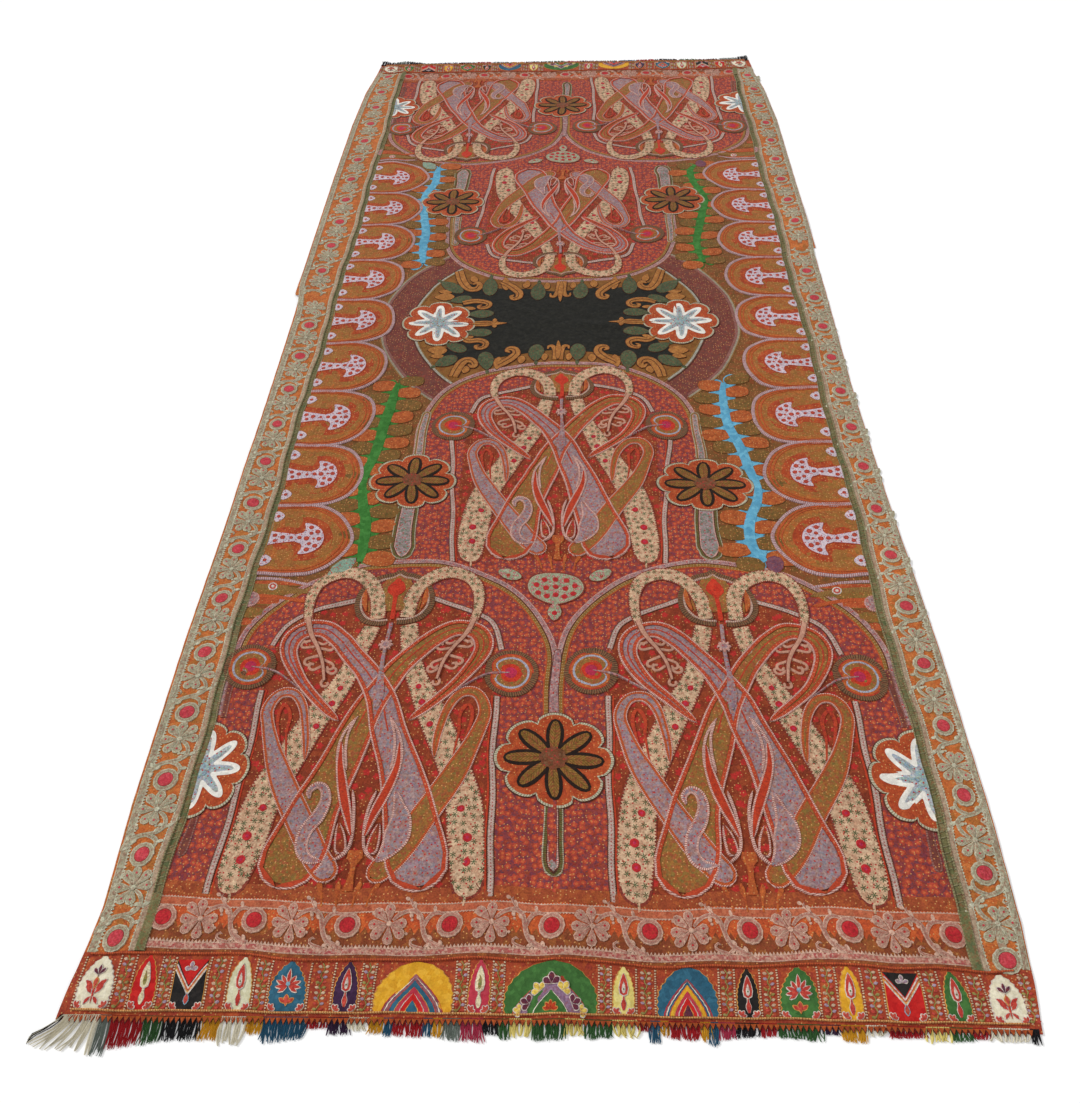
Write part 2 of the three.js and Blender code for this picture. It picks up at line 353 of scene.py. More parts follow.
@dataclass(frozen=True)
class Veined(Wool):
    """Close stitching on a petal or leaf, with a vein along it and fine ribs beside that."""

    vein: str = "8a4a3c"
    pitch: float = 0.0044
    strength: float = 0.6

    def colour(self, bath: Dyebath) -> Wire:
        """The ground with its veins.

        Args:
            bath: The bath that its nodes go into.

        Returns:
            The colour.
        """
        along, across = bath.stitch_place()
        side = bath.math("ABSOLUTE", across)
        slant = bath.math("FRACT", (along - side * 1.3) / self.pitch) - 0.5
        ribs = bath.edge(0.13 - bath.math("ABSOLUTE", slant), 0.16)
        middle = bath.edge(0.0006 - side, 0.0008)
        mask = bath.math("MAXIMUM", ribs, middle) * self.strength
        return bath.blend(mask, super().colour(bath), dye(self.vein))


@dataclass(frozen=True)
class Line(Finish):
    """A line of stitches that shows light and dark by turns, or a row of round dots."""

    light: str = "d8c0b0"
    dark: str = "7a3a2c"
    pitch: float = 0.004
    share: float = 0.6
    dot: float = 0.0

    def _mask(self, bath: Dyebath) -> Wire:
        """One on the light stitches.

        Args:
            bath: The bath that its nodes go into.

        Returns:
            The mask.
        """
        along, across = bath.stitch_place()
        sway = bath.noise(bath.place(), 0.011, 1.0) * 1.1
        turn = bath.math("FRACT", along / self.pitch + sway) - 0.5
        if self.dot:
            x = turn * self.pitch
            return bath.edge(self.dot - bath.math("SQRT", x * x + across * across), 0.3 * self.dot)
        return bath.edge(self.share / 2 - bath.math("ABSOLUTE", turn), 0.15)

    def colour(self, bath: Dyebath) -> Wire:
        """Light stitches on the dark ground."""
        return bath.blend(self._mask(bath), dye(self.dark), dye(self.light))

    def relief(self, bath: Dyebath) -> Wire:
        """The light stitches stand proud."""
        return self._mask(bath) + bath.noise(bath.place(), 0.0016, 1.0) * 0.6


# ---------------------------------------------------------------- the cloth
@dataclass(frozen=True)
class Ridge:
    """A soft ridge where the cloth lifts off the floor."""

    x: float
    y: float
    length: float
    width: float
    height: float
    turn: float

    def lift(self, x: Array, y: Array) -> Array:
        """How far the ridge lifts the cloth at some places.

        Args:
            x: Places across.
            y: Places along.

        Returns:
            The height at each.
        """
        turn = math.radians(self.turn)
        dx, dy = x - self.x, y - self.y
        along = (dy * math.cos(turn) - dx * math.sin(turn)) / self.length
        across = (dx * math.cos(turn) + dy * math.sin(turn)) / self.width
        inside = (abs(along) < 0.5) & (abs(across) < 0.5)
        return inside * self.height * (np.cos(along * math.pi) * np.cos(across * math.pi)) ** 2


@dataclass
class Cloth:
    """The rippled sheet that every piece of the shawl lies in or on."""

    near_edge: float = -1.649
    outline: tuple[tuple[float, float, float], ...] = (  # along, left edge, right edge
        (0.0, -0.69, 0.685), (0.06, -0.682, 0.694), (0.15, -0.676, 0.702), (0.32, -0.685, 0.708),
        (0.64, -0.69, 0.708), (1.0, -0.688, 0.699), (1.38, -0.691, 0.696), (1.779, -0.696, 0.704),
        (1.781, -0.711, 0.704), (1.999, -0.714, 0.706), (2.001, -0.714, 0.714), (2.42, -0.719, 0.717),
        (2.8, -0.72, 0.72), (3.06, -0.712, 0.708), (3.18, -0.698, 0.692), (3.3, -0.688, 0.686),
    )
    ridges: tuple[Ridge, ...] = tuple(Ridge(*row) for row in (  # as the fields of a ridge
        (0.028, 0.12, 0.42, 0.095, 0.007, 0), (-0.352, 0.15, 0.36, 0.1, 0.006, -4),
        (-0.655, 0.03, 0.24, 0.12, 0.006, 70), (0.47, 0.06, 0.26, 0.09, 0.004, 8),
        (-0.43, 0.77, 0.33, 0.11, 0.005, -58), (0.2, 0.56, 0.46, 0.13, 0.003, 12),
        (-0.668, 1.08, 0.42, 0.09, 0.005, 3), (0.672, 0.78, 0.38, 0.09, 0.004, -5),
        (0.47, 1.44, 0.28, 0.09, 0.005, -62), (-0.69, 1.79, 0.24, 0.08, 0.006, 8),
        (0.15, 1.99, 0.52, 0.12, 0.004, -75), (0.69, 2.14, 0.36, 0.09, 0.005, -4),
        (-0.56, 2.56, 0.42, 0.11, 0.005, 30), (0.06, 2.72, 0.42, 0.13, 0.004, -8),
        (0.64, 3.06, 0.3, 0.11, 0.006, 24), (-0.61, 3.19, 0.24, 0.1, 0.006, -35),
        (-0.455, 0.7, 0.3, 0.055, 0.004, -42), (-0.39, 0.64, 0.22, 0.05, 0.003, -64),
        (-0.56, 0.52, 0.24, 0.055, 0.0035, 20), (-0.12, 0.25, 0.34, 0.055, 0.0032, 35),
        (0.26, 0.18, 0.28, 0.05, 0.0028, -12), (0.56, 0.33, 0.3, 0.055, 0.0035, 28),
        (0.5, 1.425, 0.26, 0.05, 0.0034, -86), (0.42, 0.96, 0.26, 0.055, 0.0026, 24),
        (-0.5, 1.33, 0.26, 0.06, 0.003, -70), (-0.08, 1.13, 0.3, 0.05, 0.003, 50),
        (0.12, 1.64, 0.34, 0.05, 0.0025, 84), (-0.44, 2.06, 0.3, 0.05, 0.0035, 62),
        (0.3, 2.42, 0.34, 0.05, 0.0035, -40), (-0.18, 2.96, 0.3, 0.05, 0.0035, 74),
    ))
    cockle: float = 0.0007  # small puckers that the stitching draws up

    def left(self, y: Array) -> Array:
        """X of the left edge of the cloth."""
        table = np.array(self.outline)
        return np.interp(y, table[:, 0], table[:, 1])

    def right(self, y: Array) -> Array:
        """X of the right edge of the cloth."""
        table = np.array(self.outline)
        return np.interp(y, table[:, 0], table[:, 2])

    def top(self, x: Array, y: Array) -> Array:
        """Height of the face of the cloth.

        Args:
            x: Places across.
            y: Places along.

        Returns:
            The height at each.
        """
        height = sum(ridge.lift(x, y) for ridge in self.ridges) + WALL
        waves = np.sin(61 * x + 3 * np.sin(17 * y)) * np.sin(53 * y + 2 * np.sin(23 * x))
        fine = np.sin(139 * x + 31 * y) * np.sin(127 * y - 43 * x)
        return height + self.cockle * (1.2 + 0.7 * waves + 0.5 * fine)

    def drift(self, xy: Array) -> Array:
        """Places moved a little, because no seam or stitched line of the cloth is quite true.

        Args:
            xy: Places on the cloth, in the last axis.

        Returns:
            Where they lie once they are moved.
        """
        x, y = xy[..., 0], xy[..., 1]
        rim = np.minimum(np.minimum(x - self.left(y), self.right(y) - x), np.minimum(y, CLOTH_LENGTH - y))
        free = np.clip(rim / 0.06, 0, 1) ** 2
        sag = self.sag(x, y)
        dx = 0.003 * np.sin(11 * y + 5 * x) + 0.0014 * np.sin(41 * y + 9 * x + 1)
        dy = 0.0034 * np.sin(13 * x + 3 * y + 2) + 0.0016 * np.sin(37 * x - 11 * y)
        return np.stack([x + free * dx, y + free * dy - sag], -1)

    @staticmethod
    def sag(x: Array, y: Array) -> Array:
        """How far the near edge is drawn out towards its left corner."""
        return 0.009 * np.clip((0.05 - x) / 0.7, 0, 1) * np.clip(1 - y / 0.1, 0, 1)

    def set_down(self, xy: Array, lift: Union[Array, float]) -> Array:
        """Points of the frame that lie on the cloth.

        Args:
            xy: Places on the cloth, in the last axis.
            lift: How far above the face each lies.

        Returns:
            The points, in the frame's own coordinates.
        """
        xy = self.drift(np.asarray(xy, float))
        z = self.top(xy[..., 0], xy[..., 1]) + lift
        return np.stack([xy[..., 0], xy[..., 1] + self.near_edge, z], -1)


CLOTH = Cloth()


# ---------------------------------------------------------------- drawing on the cloth
@dataclass(frozen=True)
class Place:
    """Where a motif is set on the cloth, and how it is turned."""

    x: float = 0.0
    y: float = 0.0
    turn: float = 0.0  # degrees, anticlockwise
    size: float = 1.0
    mirror: bool = False
    stretch: float = 1.0  # along the motif's own Y

    def __call__(self, points: Union[Array, Sequence[Point]]) -> Array:
        """Places on the cloth for points of the motif, in the last axis.

        Args:
            points: Points of the motif, in its own X and Y.

        Returns:
            Their places.
        """
        local = np.array(points, float) * (self.size, self.size * self.stretch)
        if self.mirror:
            local[..., 0] *= -1
        c, s = math.cos(math.radians(self.turn)), math.sin(math.radians(self.turn))
        x = self.x + c * local[..., 0] - s * local[..., 1]
        y = self.y + s * local[..., 0] + c * local[..., 1]
        return np.stack([x, y], -1)

    def at(self, x: float, y: float, turn: float = 0.0, size: float = 1.0, mirror: bool = False) -> Place:
        """A motif set on this one, at its point (x, y).

        Args:
            x: Own X of the new motif.
            y: Own Y of it.
            turn: How far it is turned, in degrees.
            size: Its share of this size.
            mirror: Whether it is turned over.

        Returns:
            The place of the new motif.
        """
        x0, y0 = self([(x, y)])[0]
        sign = -1 if self.mirror else 1
        return Place(x0, y0, self.turn + sign * turn, self.size * size, self.mirror != mirror)

    @classmethod
    def toward(cls, root: Point, tip: Point) -> Place:
        """The place of a motif that grows from one point towards another."""
        return cls(*root, math.degrees(math.atan2(root[0] - tip[0], tip[1] - root[1])))


HERE = Place()


def smooth(points: Sequence[Sequence[float]], step: float, closed: bool = False) -> Array:
    """A smooth row of points through a few given ones.

    Args:
        points: Rows of numbers, with X and Y first.
        step: Distance between the new points.
        closed: Whether the last point joins the first.

    Returns:
        The new rows, evenly spaced.
    """
    p = np.asarray(points, float)
    if closed:
        p = np.vstack([p[-1], p, p[0], p[1]])
    else:
        p = np.vstack([2 * p[0] - p[1], p, 2 * p[-1] - p[-2]])
    t = np.linspace(0, 1, 12, endpoint=False)[:, None]
    rows = []
    for a, b, c, d in zip(p, p[1:], p[2:], p[3:]):
        cubic = 2 * b + (c - a) * t + (2 * a - 5 * b + 4 * c - d) * t**2 + (3 * b - a - 3 * c + d) * t**3
        rows.append(cubic / 2)
    dense = np.vstack([*rows, p[-2][None]])
    return even(dense, step)


def even(dense: Array, step: float) -> Array:
    """The same row of points, resampled so that its points are evenly spaced.

    Args:
        dense: Rows of numbers, with X and Y first.
        step: Distance between the new points.

    Returns:
        The new rows.
    """
    run = np.concatenate([[0], np.cumsum(np.hypot(*np.diff(dense[:, :2], axis=0).T))])
    count = max(3, int(round(run[-1] / step)) + 1)
    stops = np.linspace(0, run[-1], count)
    return np.stack([np.interp(stops, run, column) for column in dense.T], -1)


def mm(*rows: tuple[float, ...]) -> list[tuple[float, ...]]:
    """Rows of lengths in millimetres, as rows of metres."""
    return [tuple(length / 1000 for length in row) for row in rows]


def inside(polygon: Array, x: Array, y: Array) -> Array:
    """Whether each place lies inside a closed outline.

    Args:
        polygon: The corners of the outline.
        x: Places across.
        y: Places along.

    Returns:
        Whether each place does.
    """
    found = np.zeros(x.shape, bool)
    for (x0, y0), (x1, y1) in zip(polygon, np.roll(polygon, -1, axis=0)):
        crosses = (y0 > y) != (y1 > y)
        if crosses.any():
            found ^= crosses & (x < (x1 - x0) * (y - y0) / (y1 - y0 + 1e-12) + x0)
    return found


class Ends(Enum):
    """How a line of stitching ends."""

    ROUND = "round"
    POINTED = "pointed"
    CUT = "cut"


ROUND_ENDS = (Ends.ROUND, Ends.ROUND)
CUT_ENDS = (Ends.CUT, Ends.CUT)
POINTED_ENDS = (Ends.POINTED, Ends.POINTED)
ROUND_TO_CUT = (Ends.ROUND, Ends.CUT)
CUT_TO_ROUND = (Ends.CUT, Ends.ROUND)
CUT_TO_POINT = (Ends.CUT, Ends.POINTED)
POINT_TO_CUT = (Ends.POINTED, Ends.CUT)
POINT_TO_ROUND = (Ends.POINTED, Ends.ROUND)


@dataclass(frozen=True)
class Ring:
    """One ring of a round motif, from its outline inwards to the next."""

    radius: float
    finish: Finish
    depth: float = 0.0  # how far in the notches between its petals go, as a share of the radius
    point: float = 1.0  # above one for sharp petals, and below for scallops


class Needlework:
    """Collects the stitching of one piece, and turns it into one mesh."""

    def __init__(self, name: str) -> None:
        """Starts an empty piece of that name.

        Args:
            name: The piece's name.
        """
        self.name = name
        self.points: list[Array] = []
        self.triangles: list[Array] = []
        self.stitches: list[Array] = []
        self.slots: list[Array] = []
        self.finishes: list[Finish] = []
        self.count = 0

    def slot(self, finish: Finish) -> int:
        """The number of a finish in this piece.

        Args:
            finish: The finish, which is added where it is new.

        Returns:
            Its number.
        """
        if finish not in self.finishes:
            self.finishes.append(finish)
        return self.finishes.index(finish)

    def add(self, points: Array, triangles: Array, slots: Array, stitches: Array) -> None:
        """Adds loose triangles.

        Args:
            points: Points of the frame.
            triangles: Three point numbers for each triangle.
            slots: The finish number of each triangle.
            stitches: Stitch coordinates of each point.
        """
        self.points.append(points)
        self.triangles.append(triangles + self.count)
        self.slots.append(slots)
        self.stitches.append(stitches[triangles])
        self.count += len(points)

    def grid(self, xy: Array, lift: Array, finish: Finish, stitches: Array) -> None:
        """Adds a grid of stitching.

        Args:
            xy: Rows of places on the cloth, each row from one side to the other.
            lift: How far above the cloth each lies.
            finish: The finish of the grid.
            stitches: Stitch coordinates of each point.
        """
        rows, columns = xy.shape[:2]
        number = np.arange(rows * columns).reshape(rows, columns)
        a, b = number[:-1, :-1].ravel(), number[:-1, 1:].ravel()
        c, d = number[1:, 1:].ravel(), number[1:, :-1].ravel()
        corner = xy.reshape(-1, 2)
        ab, ad = corner[b] - corner[a], corner[c] - corner[a]
        turned = (ab[:, 0] * ad[:, 1] - ab[:, 1] * ad[:, 0]).sum() < 0
        if turned:
            b, d = d, b
        triangles = np.vstack([np.stack([a, b, c], 1), np.stack([a, c, d], 1)])
        points = CLOTH.set_down(xy, lift).reshape(-1, 3)
        slots = np.full(len(triangles), self.slot(finish))
        self.add(points, triangles, slots, stitches.reshape(-1, 2))

    def band(
        self,
        spine: Sequence[Sequence[float]],
        lanes: Sequence[tuple[Finish, float]],
        fill: Optional[Finish],
        level: float,
        place: Place = HERE,
        ends: tuple[Ends, Ends] = ROUND_ENDS,
        step: float = 0.006,
        tooth: float = 0.0,
    ) -> None:
        """Stitches a band along a smooth line.

        Args:
            spine: A few rows of X, Y and half width of the fill.
            lanes: Finish and width of each line along both edges, from the outermost inwards.
            fill: The finish between the lines, or None for lines alone.
            level: How many layers up it lies.
            place: Where the motif is set.
            ends: How the two ends finish.
            step: Distance between rows.
            tooth: How far the edge is serrated.
        """
        rows = smooth(spine, step / place.size)
        xy = place(rows[:, :2])
        half = np.maximum(rows[:, 2], 0) * place.size
        total = sum(width for _, width in lanes)
        if tooth:
            half = half + tooth * (np.arange(len(half)) % 2)
        tangent = np.gradient(xy, axis=0)
        tangent /= np.linalg.norm(tangent, axis=1)[:, None] + 1e-12
        run = np.concatenate([[0], np.cumsum(np.hypot(*np.diff(xy, axis=0).T))])
        share = np.ones(len(run))
        for end, distance in ((ends[0], run), (ends[1], run[-1] - run)):
            if end is Ends.POINTED:
                share = np.minimum(share, np.sqrt(np.clip(distance / (3 * (total + 0.002)), 0, 1)))
        xy, tangent, half, run, share, beyond = self._with_ends(xy, tangent, half, run, share, ends, total)
        normal = np.stack([-tangent[:, 1], tangent[:, 0]], 1)
        base = FIRST_LEVEL + level * LEVEL

        def lateral(offset: Array) -> Array:
            """Offsets drawn in round the ends."""
            return np.sqrt(np.maximum(offset**2 - beyond**2, 0))

        def strip(
            offsets: list[Array], heights: list[float], finish: Finish, side: int, middle: Array
        ) -> None:
            """One finish's columns of the band.

            Args:
                offsets: How far out each column lies.
                heights: How high each lies.
                finish: Their finish.
                side: -1 for the left, and 1 for the right.
                middle: How far out the middle of the line is.
            """
            across = np.stack([lateral(offset) for offset in offsets], 1)
            places = xy[:, None] + side * across[..., None] * normal[:, None]
            lift = np.broadcast_to(np.array(heights), across.shape).copy()
            for row, end in ((0, ends[0]), (-1, ends[1])):
                if end is Ends.CUT:
                    lift[row] = SUNK
            along = np.broadcast_to(run[:, None], across.shape)
            self.grid(places, lift, finish, np.stack([along, across - middle[:, None]], -1))

        outer = half + total * share
        height = base
        for number, (finish, width) in enumerate(lanes):
            inner = outer - width * share
            columns, lifts = [outer, (outer + inner) / 2, inner], [height, height + CROWN, height]
            if width < 0.0015:
                columns, lifts = [outer, inner], [height, height + LOW_CROWN]
            if number == 0:
                columns, lifts = [outer + SKIRT, *columns], [SUNK, *lifts]
            for side in (-1, 1):
                strip(columns, lifts, finish, side, (outer + inner) / 2)
            outer = inner
        if fill is not None:
            columns, lifts = [half, half * 0.55, half * 0.0], [height, height + CROWN, height + FULL_CROWN]
            if half.max() < 0.0045:
                columns, lifts = [half, half * 0.0], [height, height + FULL_CROWN]
            if not lanes:
                columns, lifts = [half + SKIRT, *columns], [SUNK, *lifts]
            for side in (-1, 1):
                strip(columns, lifts, fill, side, half * 0)

    @staticmethod
    def _with_ends(
        xy: Array, tangent: Array, half: Array, run: Array, share: Array, ends: tuple[Ends, Ends],
        total: float
    ) -> tuple[Array, Array, Array, Array, Array, Array]:
        """Adds the rows that round off an end or close a cut one.

        Args:
            xy: Places of the rows.
            tangent: Their directions.
            half: Their half widths.
            run: Their distances along the band.
            share: How much of its width the edging keeps.
            ends: How the two ends finish.
            total: The width of the edging.

        Returns:
            The same five, and how far beyond its end each row lies.
        """
        beyond = np.zeros(len(xy))
        for end, first in ((ends[0], True), (ends[1], False)):
            if end is Ends.POINTED:
                continue
            at = 0 if first else -1
            reach = half[at] + total * share[at]
            steps = reach * np.sin(np.radians((30, 55, 75, 90))) if end is Ends.ROUND else np.array([SKIRT])
            sign = -1 if first else 1
            extra = xy[at] + sign * steps[:, None] * tangent[at]
            parts = [
                (xy, extra), (tangent, np.repeat(tangent[at][None], len(steps), 0)),
                (half, np.full(len(steps), half[at])), (run, run[at] + sign * steps),
                (share, np.full(len(steps), share[at])),
                (beyond, steps if end is Ends.ROUND else steps * 0),
            ]
            joined = [
                np.concatenate([new[::-1], old]) if first else np.concatenate([old, new]) for old,
                new in parts
            ]
            xy, tangent, half, run, share, beyond = joined
        return xy, tangent, half, run, share, beyond

    def rosette(
        self,
        rings: Sequence[Ring],
        level: float,
        place: Place,
        petals: int = 8,
        steps: int = 6,
        arc_share: tuple[float, float] = (0.0, 1.0),
    ) -> None:
        """Stitches a round motif of concentric rings.

        Args:
            rings: Its rings, from the outermost inwards.
            level: How many layers up it lies.
            place: Where it is set.
            petals: How many petals its rings have.
            steps: Rows of stitching in a petal.
            arc_share: The part of a full turn that it fills.
        """
        turn = np.linspace(2 * math.pi * arc_share[0], 2 * math.pi * arc_share[1], petals * steps + 1)
        base = FIRST_LEVEL + level * LEVEL
        direction = np.stack([np.sin(turn), np.cos(turn)], 1)
        wave = np.abs(np.cos(petals * turn / 2))
        outlines = [ring.radius * (1 - ring.depth * (1 - wave**ring.point)) for ring in rings]
        outlines.append(np.zeros(len(turn)))
        for number, ring in enumerate(rings):
            outer, inner = outlines[number], np.minimum(outlines[number + 1], outlines[number])
            height = base + number * RING_STEP
            radii = [outer, (outer + inner) / 2, inner]
            lifts = [height, height + RING_CROWN, height + RING_STEP]
            if (outer - inner).max() < 0.0025:
                radii, lifts = [outer, inner], [height, height + RING_STEP]
            if number == 0:
                radii, lifts = [outer + SKIRT, *radii], [SUNK, *lifts]
            reach = np.stack(radii, 1)
            xy = place(reach[..., None] * direction[:, None])
            along = np.broadcast_to((turn * ring.radius)[:, None], reach.shape)
            lift = np.broadcast_to(np.array(lifts), reach.shape)
            stitches = np.stack(
                [along * place.size, (reach - (outer + inner)[:, None] / 2) * place.size], -1
            )
            self.grid(xy, lift, ring.finish, stitches)

    def leaf(
        self,
        place: Place,
        length: float,
        width: float,
        finish: Finish,
        level: float,
        bend: float = 0.0,
        blunt: float = 0.0,
        rim: Optional[Finish] = None,
        fullness: float = 0.8,
        rows: int = 6,
    ) -> None:
        """Stitches a leaf or drop that grows along its place's Y.

        Args:
            place: Its root.
            length: How long it is.
            width: How wide it is.
            finish: Its finish.
            level: How many layers up it lies.
            bend: How far its tip leans sideways.
            blunt: Above zero where it is widest towards its tip, and below towards its root.
            rim: The finish of its edge, where it has one.
            fullness: Lower for rounder ends.
            rows: How many rows of stitching it has.
        """
        if rim is not None:
            root = place.at(0, -0.0012)
            self.leaf(root, length + 0.0024, width + 0.0022, rim, level, bend, blunt, None, fullness, rows)
            level += 1
        t = (1 - np.cos(np.linspace(0, math.pi, rows))) / 2
        half = width / 2 * np.maximum(np.sin(math.pi * t ** (1 + blunt)), 0) ** fullness
        spine = np.stack([bend * t**2, length * t], 1)
        across = np.stack([np.ones(rows), -2 * bend * t / length], 1)
        across /= np.linalg.norm(across, axis=1)[:, None]
        offsets = np.stack([-half - 0.0004, -half, half * 0, half, half + 0.0004], 1)
        xy = place(spine[:, None] + offsets[..., None] * across[:, None])
        base = FIRST_LEVEL + level * LEVEL
        lift = np.broadcast_to(np.array([SUNK, base, base + FULL_CROWN, base, SUNK]), offsets.shape)
        along = np.broadcast_to((t * length * place.size)[:, None], offsets.shape)
        self.grid(xy, lift, finish, np.stack([along, offsets * place.size], -1))

    def fan(
        self,
        place: Place,
        petals: int,
        reach: float,
        spread: float,
        width: float,
        finish: Finish,
        level: float,
        rim: Optional[Finish] = None,
        turn: float = 0.0,
    ) -> None:
        """Stitches drop petals that fan out from one point.

        Args:
            place: The point, with the fan's middle along its Y.
            petals: How many there are.
            reach: How long each is.
            spread: The whole angle of the fan, in degrees.
            width: How wide each is.
            finish: Their finish.
            level: How many layers up they lie.
            rim: The finish of their edges, where they have one.
            turn: How far the fan is turned on its place, in degrees.
        """
        for number, angle in enumerate(np.linspace(-spread / 2, spread / 2, petals)):
            size = 1 - 0.16 * abs(angle) / 90 if spread < 300 else 1.0
            petal = place.at(0, 0, angle + turn)
            self.leaf(petal, reach * size, width, finish, level + 0.3 * (number % 2), 0, 0.7, rim)

    def spot(self, place: Place, radius: float, finish: Finish, level: float) -> None:
        """Stitches a small round spot."""
        self.rosette((Ring(radius, finish),), level, place, 1, steps=6)

    def patch(
        self, outline: Array, centre: Point, finish: Finish, level: float, place: Place, rings: int
    ) -> None:
        """Lays a smooth patch of cloth or close stitching.

        Args:
            outline: Its edge, closed by a last point that repeats the first, all in sight of its centre.
            centre: A point inside it.
            finish: Its finish.
            level: How many layers up it lies.
            place: Where the motif is set.
            rings: How many rings of stitching lie between its edge and its centre.
        """
        edge = np.asarray(outline, float)[:, :2] - centre
        shares = np.concatenate([[1.0], np.linspace(1, 0, rings + 1)])
        reach = edge[None] * shares[:, None, None]
        reach[0] *= 1 + 0.0006 / (np.linalg.norm(edge, axis=1)[:, None] + 1e-9)
        base = FIRST_LEVEL + level * LEVEL
        rise = np.concatenate([[SUNK, base], np.full(rings, base + LOW_CROWN)])
        xy = place(reach + centre)
        lift = np.broadcast_to(rise[:, None], xy.shape[:2])
        run = np.concatenate([[0], np.cumsum(np.hypot(*np.diff(edge, axis=0).T))])
        along = np.broadcast_to(run * place.size, xy.shape[:2])
        depth = (1 - shares)[:, None] * np.linalg.norm(edge, axis=1)[None] * place.size
        self.grid(xy, lift, finish, np.stack([along, depth], -1))

    def teeth(
        self, line: Sequence[Sequence[float]], pitch: float, reach: float, finish: Finish, level: float,
        place: Place = HERE
    ) -> None:
        """Stitches a row of small points that stand on a line, to its left where reach is positive.

        Args:
            line: A few places along the line.
            pitch: How wide each point is.
            reach: How far the points stand out.
            finish: Their finish.
            level: How many layers up they lie.
            place: Where the motif is set.
        """
        rows = smooth(line, pitch / 2)
        count = (len(rows) - 1) // 2
        base, middle = rows[: 2 * count + 1 : 2, :2], rows[1 : 2 * count : 2, :2]
        along = np.diff(base, axis=0)
        along /= np.linalg.norm(along, axis=1)[:, None]
        tips = middle + reach * np.stack([-along[:, 1], along[:, 0]], 1)
        xy = place(np.vstack([base, tips]))
        first = np.arange(count)
        corners = [first, first + 1, count + 1 + first]
        if (reach < 0) != place.mirror:
            corners[0], corners[1] = corners[1], corners[0]
        points = CLOTH.set_down(xy, FIRST_LEVEL + level * LEVEL)
        triangles = np.stack(corners, 1)
        self.add(points, triangles, np.full(count, self.slot(finish)), xy)

    def make(self) -> Piece:
        """Turns what was collected into one piece.

        Returns:
            The new object, which rides on the shawl.
        """
        points = np.vstack(self.points)
        triangles = np.vstack(self.triangles)
        stitches = np.vstack(self.stitches)
        slots = np.concatenate(self.slots)
        _, first, welded = np.unique(
            np.round(points / 1e-6).astype(np.int64), axis=0, return_index=True, return_inverse=True
        )
        corner = welded.ravel()[triangles]
        whole = (corner != np.roll(corner, 1, axis=1)).all(1)
        points, corner, stitches, slots = points[first], corner[whole], stitches[whole], slots[whole]
        a, b, c = (points[corner[:, i]] for i in range(3))
        broad = np.linalg.norm(np.cross(b - a, c - a), axis=1) > 1e-12
        corner, stitches, slots = corner[broad], stitches[broad], slots[broad]
        used, corner = np.unique(corner, return_inverse=True)
        corner = corner.reshape(-1, 3)
        mesh = bpy.data.meshes.new(self.name)
        mesh.vertices.add(len(used))
        mesh.vertices.foreach_set("co", points[used].ravel())
        mesh.loops.add(corner.size)
        mesh.loops.foreach_set("vertex_index", corner.ravel())
        mesh.polygons.add(len(corner))
        mesh.polygons.foreach_set("loop_start", np.arange(0, corner.size, 3))
        mesh.polygons.foreach_set("material_index", slots)
        mesh.uv_layers.new(name="Stitches").data.foreach_set("uv", stitches.ravel())
        for finish in self.finishes:
            mesh.materials.append(finish.dress())
        mesh.update(calc_edges=True)
        mesh.shade_smooth()
        mesh.set_sharp_from_angle(angle=math.radians(50))
        piece = bpy.data.objects.new(self.name, mesh)
        bpy.context.scene.collection.objects.link(piece)
        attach(piece, "root")
        LOG.info("%s: %d triangles, %d finishes", self.name, len(corner), len(self.finishes))
        return piece


# ---------------------------------------------------------------- panels
@dataclass(frozen=True)
class Arch:
    """An arched panel: a half superellipse on straight sides."""

    x: float
    spring: float
    half_width: float
    rise: float
    power: float
    points: int  # 1 where its head is towards the far end, and -1 towards the near

    def head(self, step: float = 0.004, inset: float = 0.0) -> Array:
        """Places along the head of the arch, from its right spring to its left.

        Args:
            step: Distance between the places.
            inset: How far inside the edge they lie.

        Returns:
            The places.
        """
        angle = np.linspace(0, math.pi, 400)
        across = np.sign(np.cos(angle)) * np.abs(np.cos(angle)) ** (2 / self.power)
        up = np.abs(np.sin(angle)) ** (2 / self.power)
        x = self.x + (self.half_width - inset) * across
        return even(np.stack([x, self.spring + self.points * (self.rise - inset) * up], 1), step)

    def covers(self, x: Array, y: Array) -> Array:
        """Whether each place lies under the arch.

        Args:
            x: Places across.
            y: Places along.

        Returns:
            Whether each place does.
        """
        across = np.abs(x - self.x) / self.half_width
        up = np.maximum((y - self.spring) * self.points, 0) / self.rise
        return across**self.power + up**self.power < 1


NEAR_LEFT = Arch(-0.29, 0.6, 0.301, 0.248, 2.0, 1)
NEAR_RIGHT = Arch(0.312, 0.6, 0.307, 0.248, 2.0, 1)
MIDDLE_NEAR = Arch(0.005, 1.22, 0.322, 0.268, 2.4, 1)
MIDDLE_FAR = Arch(0.0, 2.1, 0.335, 0.266, 2.4, -1)
FAR_LEFT = Arch(-0.29, 2.75, 0.301, 0.243, 2.0, -1)
FAR_RIGHT = Arch(0.312, 2.75, 0.307, 0.243, 2.0, -1)


